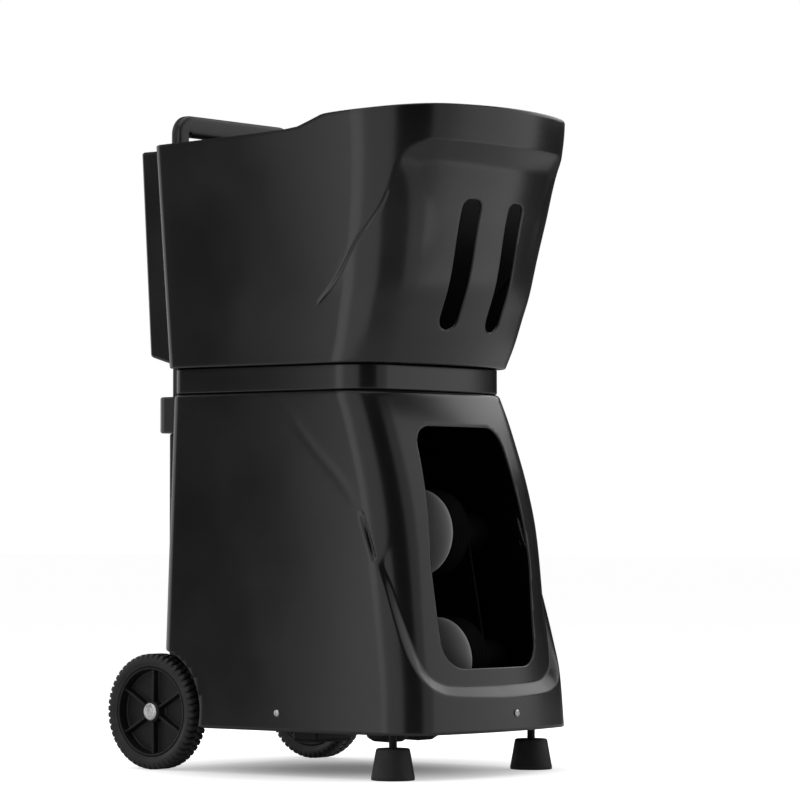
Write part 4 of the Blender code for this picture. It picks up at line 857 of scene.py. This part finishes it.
def build_floor():
    """A pale floor that glows for the camera, less so under the machine, where its shadow lies."""
    size = 30.0
    shadow_from, shadow_to, shadow_glow, open_glow = 0.02, 0.40, 0.15, 0.95
    unseen_glow = 0.02
    mesh = bpy.data.meshes.new("floor")
    mesh.from_pydata([(-size, -size, 0), (size, -size, 0), (size, size, 0), (-size, size, 0)], [],
                     [(0, 1, 2, 3)])
    floor = bpy.data.objects.new("floor", mesh)
    bpy.context.scene.collection.objects.link(floor)
    material = bpy.data.materials.new("floor")
    material.use_nodes = True
    nodes, links = material.node_tree.nodes, material.node_tree.links
    shader = nodes["Principled BSDF"]
    shader.inputs["Base Color"].default_value = (0.80, 0.80, 0.80, 1)
    shader.inputs["Roughness"].default_value = 0.7
    shader.inputs["Specular IOR Level"].default_value = 0.1
    shader.inputs["Emission Color"].default_value = (1, 1, 1, 1)
    place = nodes.new("ShaderNodeTexCoord")
    length = nodes.new("ShaderNodeVectorMath")
    length.operation = "LENGTH"
    far = nodes.new("ShaderNodeMapRange")
    far.interpolation_type = "SMOOTHSTEP"
    far.inputs["From Min"].default_value = shadow_from
    far.inputs["From Max"].default_value = shadow_to
    far.inputs["To Min"].default_value = shadow_glow
    far.inputs["To Max"].default_value = open_glow
    path = nodes.new("ShaderNodeLightPath")
    glow = nodes.new("ShaderNodeMapRange")
    glow.inputs["To Min"].default_value = unseen_glow
    links.new(place.outputs["Object"], length.inputs[0])
    links.new(length.outputs["Value"], far.inputs["Value"])
    links.new(far.outputs["Result"], glow.inputs["To Max"])
    links.new(path.outputs["Is Camera Ray"], glow.inputs["Value"])
    links.new(glow.outputs["Result"], shader.inputs["Emission Strength"])
    mesh.materials.append(material)


def build_world():
    """White behind the object, and a dim even light from all round."""
    world = bpy.data.worlds.new("studio")
    bpy.context.scene.world = world
    world.use_nodes = True
    nodes, links = world.node_tree.nodes, world.node_tree.links
    background = nodes["Background"]
    background.inputs["Color"].default_value = (1, 1, 1, 1)
    path = nodes.new("ShaderNodeLightPath")
    level = nodes.new("ShaderNodeMapRange")
    level.inputs["To Min"].default_value = 0.045
    level.inputs["To Max"].default_value = 1.0
    links.new(path.outputs["Is Camera Ray"], level.inputs["Value"])
    links.new(level.outputs["Result"], background.inputs["Strength"])


def panel(name, low, high, aim, radiance):
    """A soft light panel between two opposite corners, its light given as radiance."""
    low, high = Vector(low), Vector(high)
    middle = (low + high) / 2
    facing = (Vector(aim) - middle).normalized()
    across = (high - low)
    lamp = bpy.data.lights.new(name, "AREA")
    lamp.shape = "RECTANGLE"
    if abs(facing.z) > 0.9:
        lamp.size, lamp.size_y = abs(across.x), abs(across.y)
    else:
        lamp.size, lamp.size_y = across.xy.length, abs(across.z)
    lamp.energy = radiance * math.pi * lamp.size * lamp.size_y
    made = bpy.data.objects.new(name, lamp)
    made.location = middle
    made.rotation_euler = facing.to_track_quat("-Z", "Y").to_euler()
    made.visible_camera = False
    bpy.context.scene.collection.objects.link(made)


def build_lights():
    panel("side_light_low", (-1.05, 0.13, 0.0), (-1.05, 0.66, 0.70), (0, 0.395, 0.35), 1.45)
    panel("side_light_high", (-1.05, 0.13, 0.70), (-1.05, 0.66, 1.4), (0, 0.395, 1.05), 1.35)
    panel("corner_light", (-1.05, -0.70, 0.0), (-1.05, 0.13, 1.4), (0, -0.285, 0.70), 0.80)
    panel("front_fill", (-0.28, -1.3, 0.0), (0.42, -1.3, 1.4), (0.07, 0, 0.70), 0.55)
    panel("front_light", (0.42, -1.3, 0.0), (2.6, -1.3, 1.4), (1.51, 0, 0.70), 0.98)
    panel("right_light", (2.1, -1.3, 1.0), (2.1, 0.4, 2.3), (0, -0.45, 0.30), 1.9)
    panel("back_light", (-1.00, 1.35, -0.1), (0.30, 1.35, 1.6), (-0.35, 0.0, 0.75), 1.2)
    panel("top_light", (-1.3, -1.3, 2.2), (1.3, 1.3, 2.2), (0, 0, 0), 1.1)


def build_camera():
    """A long lens, low and to the left, turned and tilted up a little, all angles in radians."""
    azimuth, distance, height = math.radians(-51), 4.2, 0.2606
    focal, turn, tilt = 171.9, 0.0075915, 0.0345413
    away = Vector((math.sin(azimuth), -math.cos(azimuth), 0))
    data = bpy.data.cameras.new("camera")
    data.sensor_width, data.lens = 36, focal
    data.clip_start, data.clip_end = 0.1, 60
    camera = bpy.data.objects.new("camera", data)
    bpy.context.scene.collection.objects.link(camera)
    camera.location = Vector((0, -0.027, height)) + away * distance
    heading = math.atan2(-away.y, -away.x) - turn
    look = Vector((math.cos(heading) * math.cos(tilt), math.sin(heading) * math.cos(tilt),
                   math.sin(tilt)))
    camera.rotation_euler = look.to_track_quat("-Z", "Y").to_euler()
    bpy.context.scene.camera = camera


build_floor()
build_world()
build_lights()
build_camera()
bpy.context.scene.view_settings.view_transform = "Standard"

bpy.context.view_layer.update()
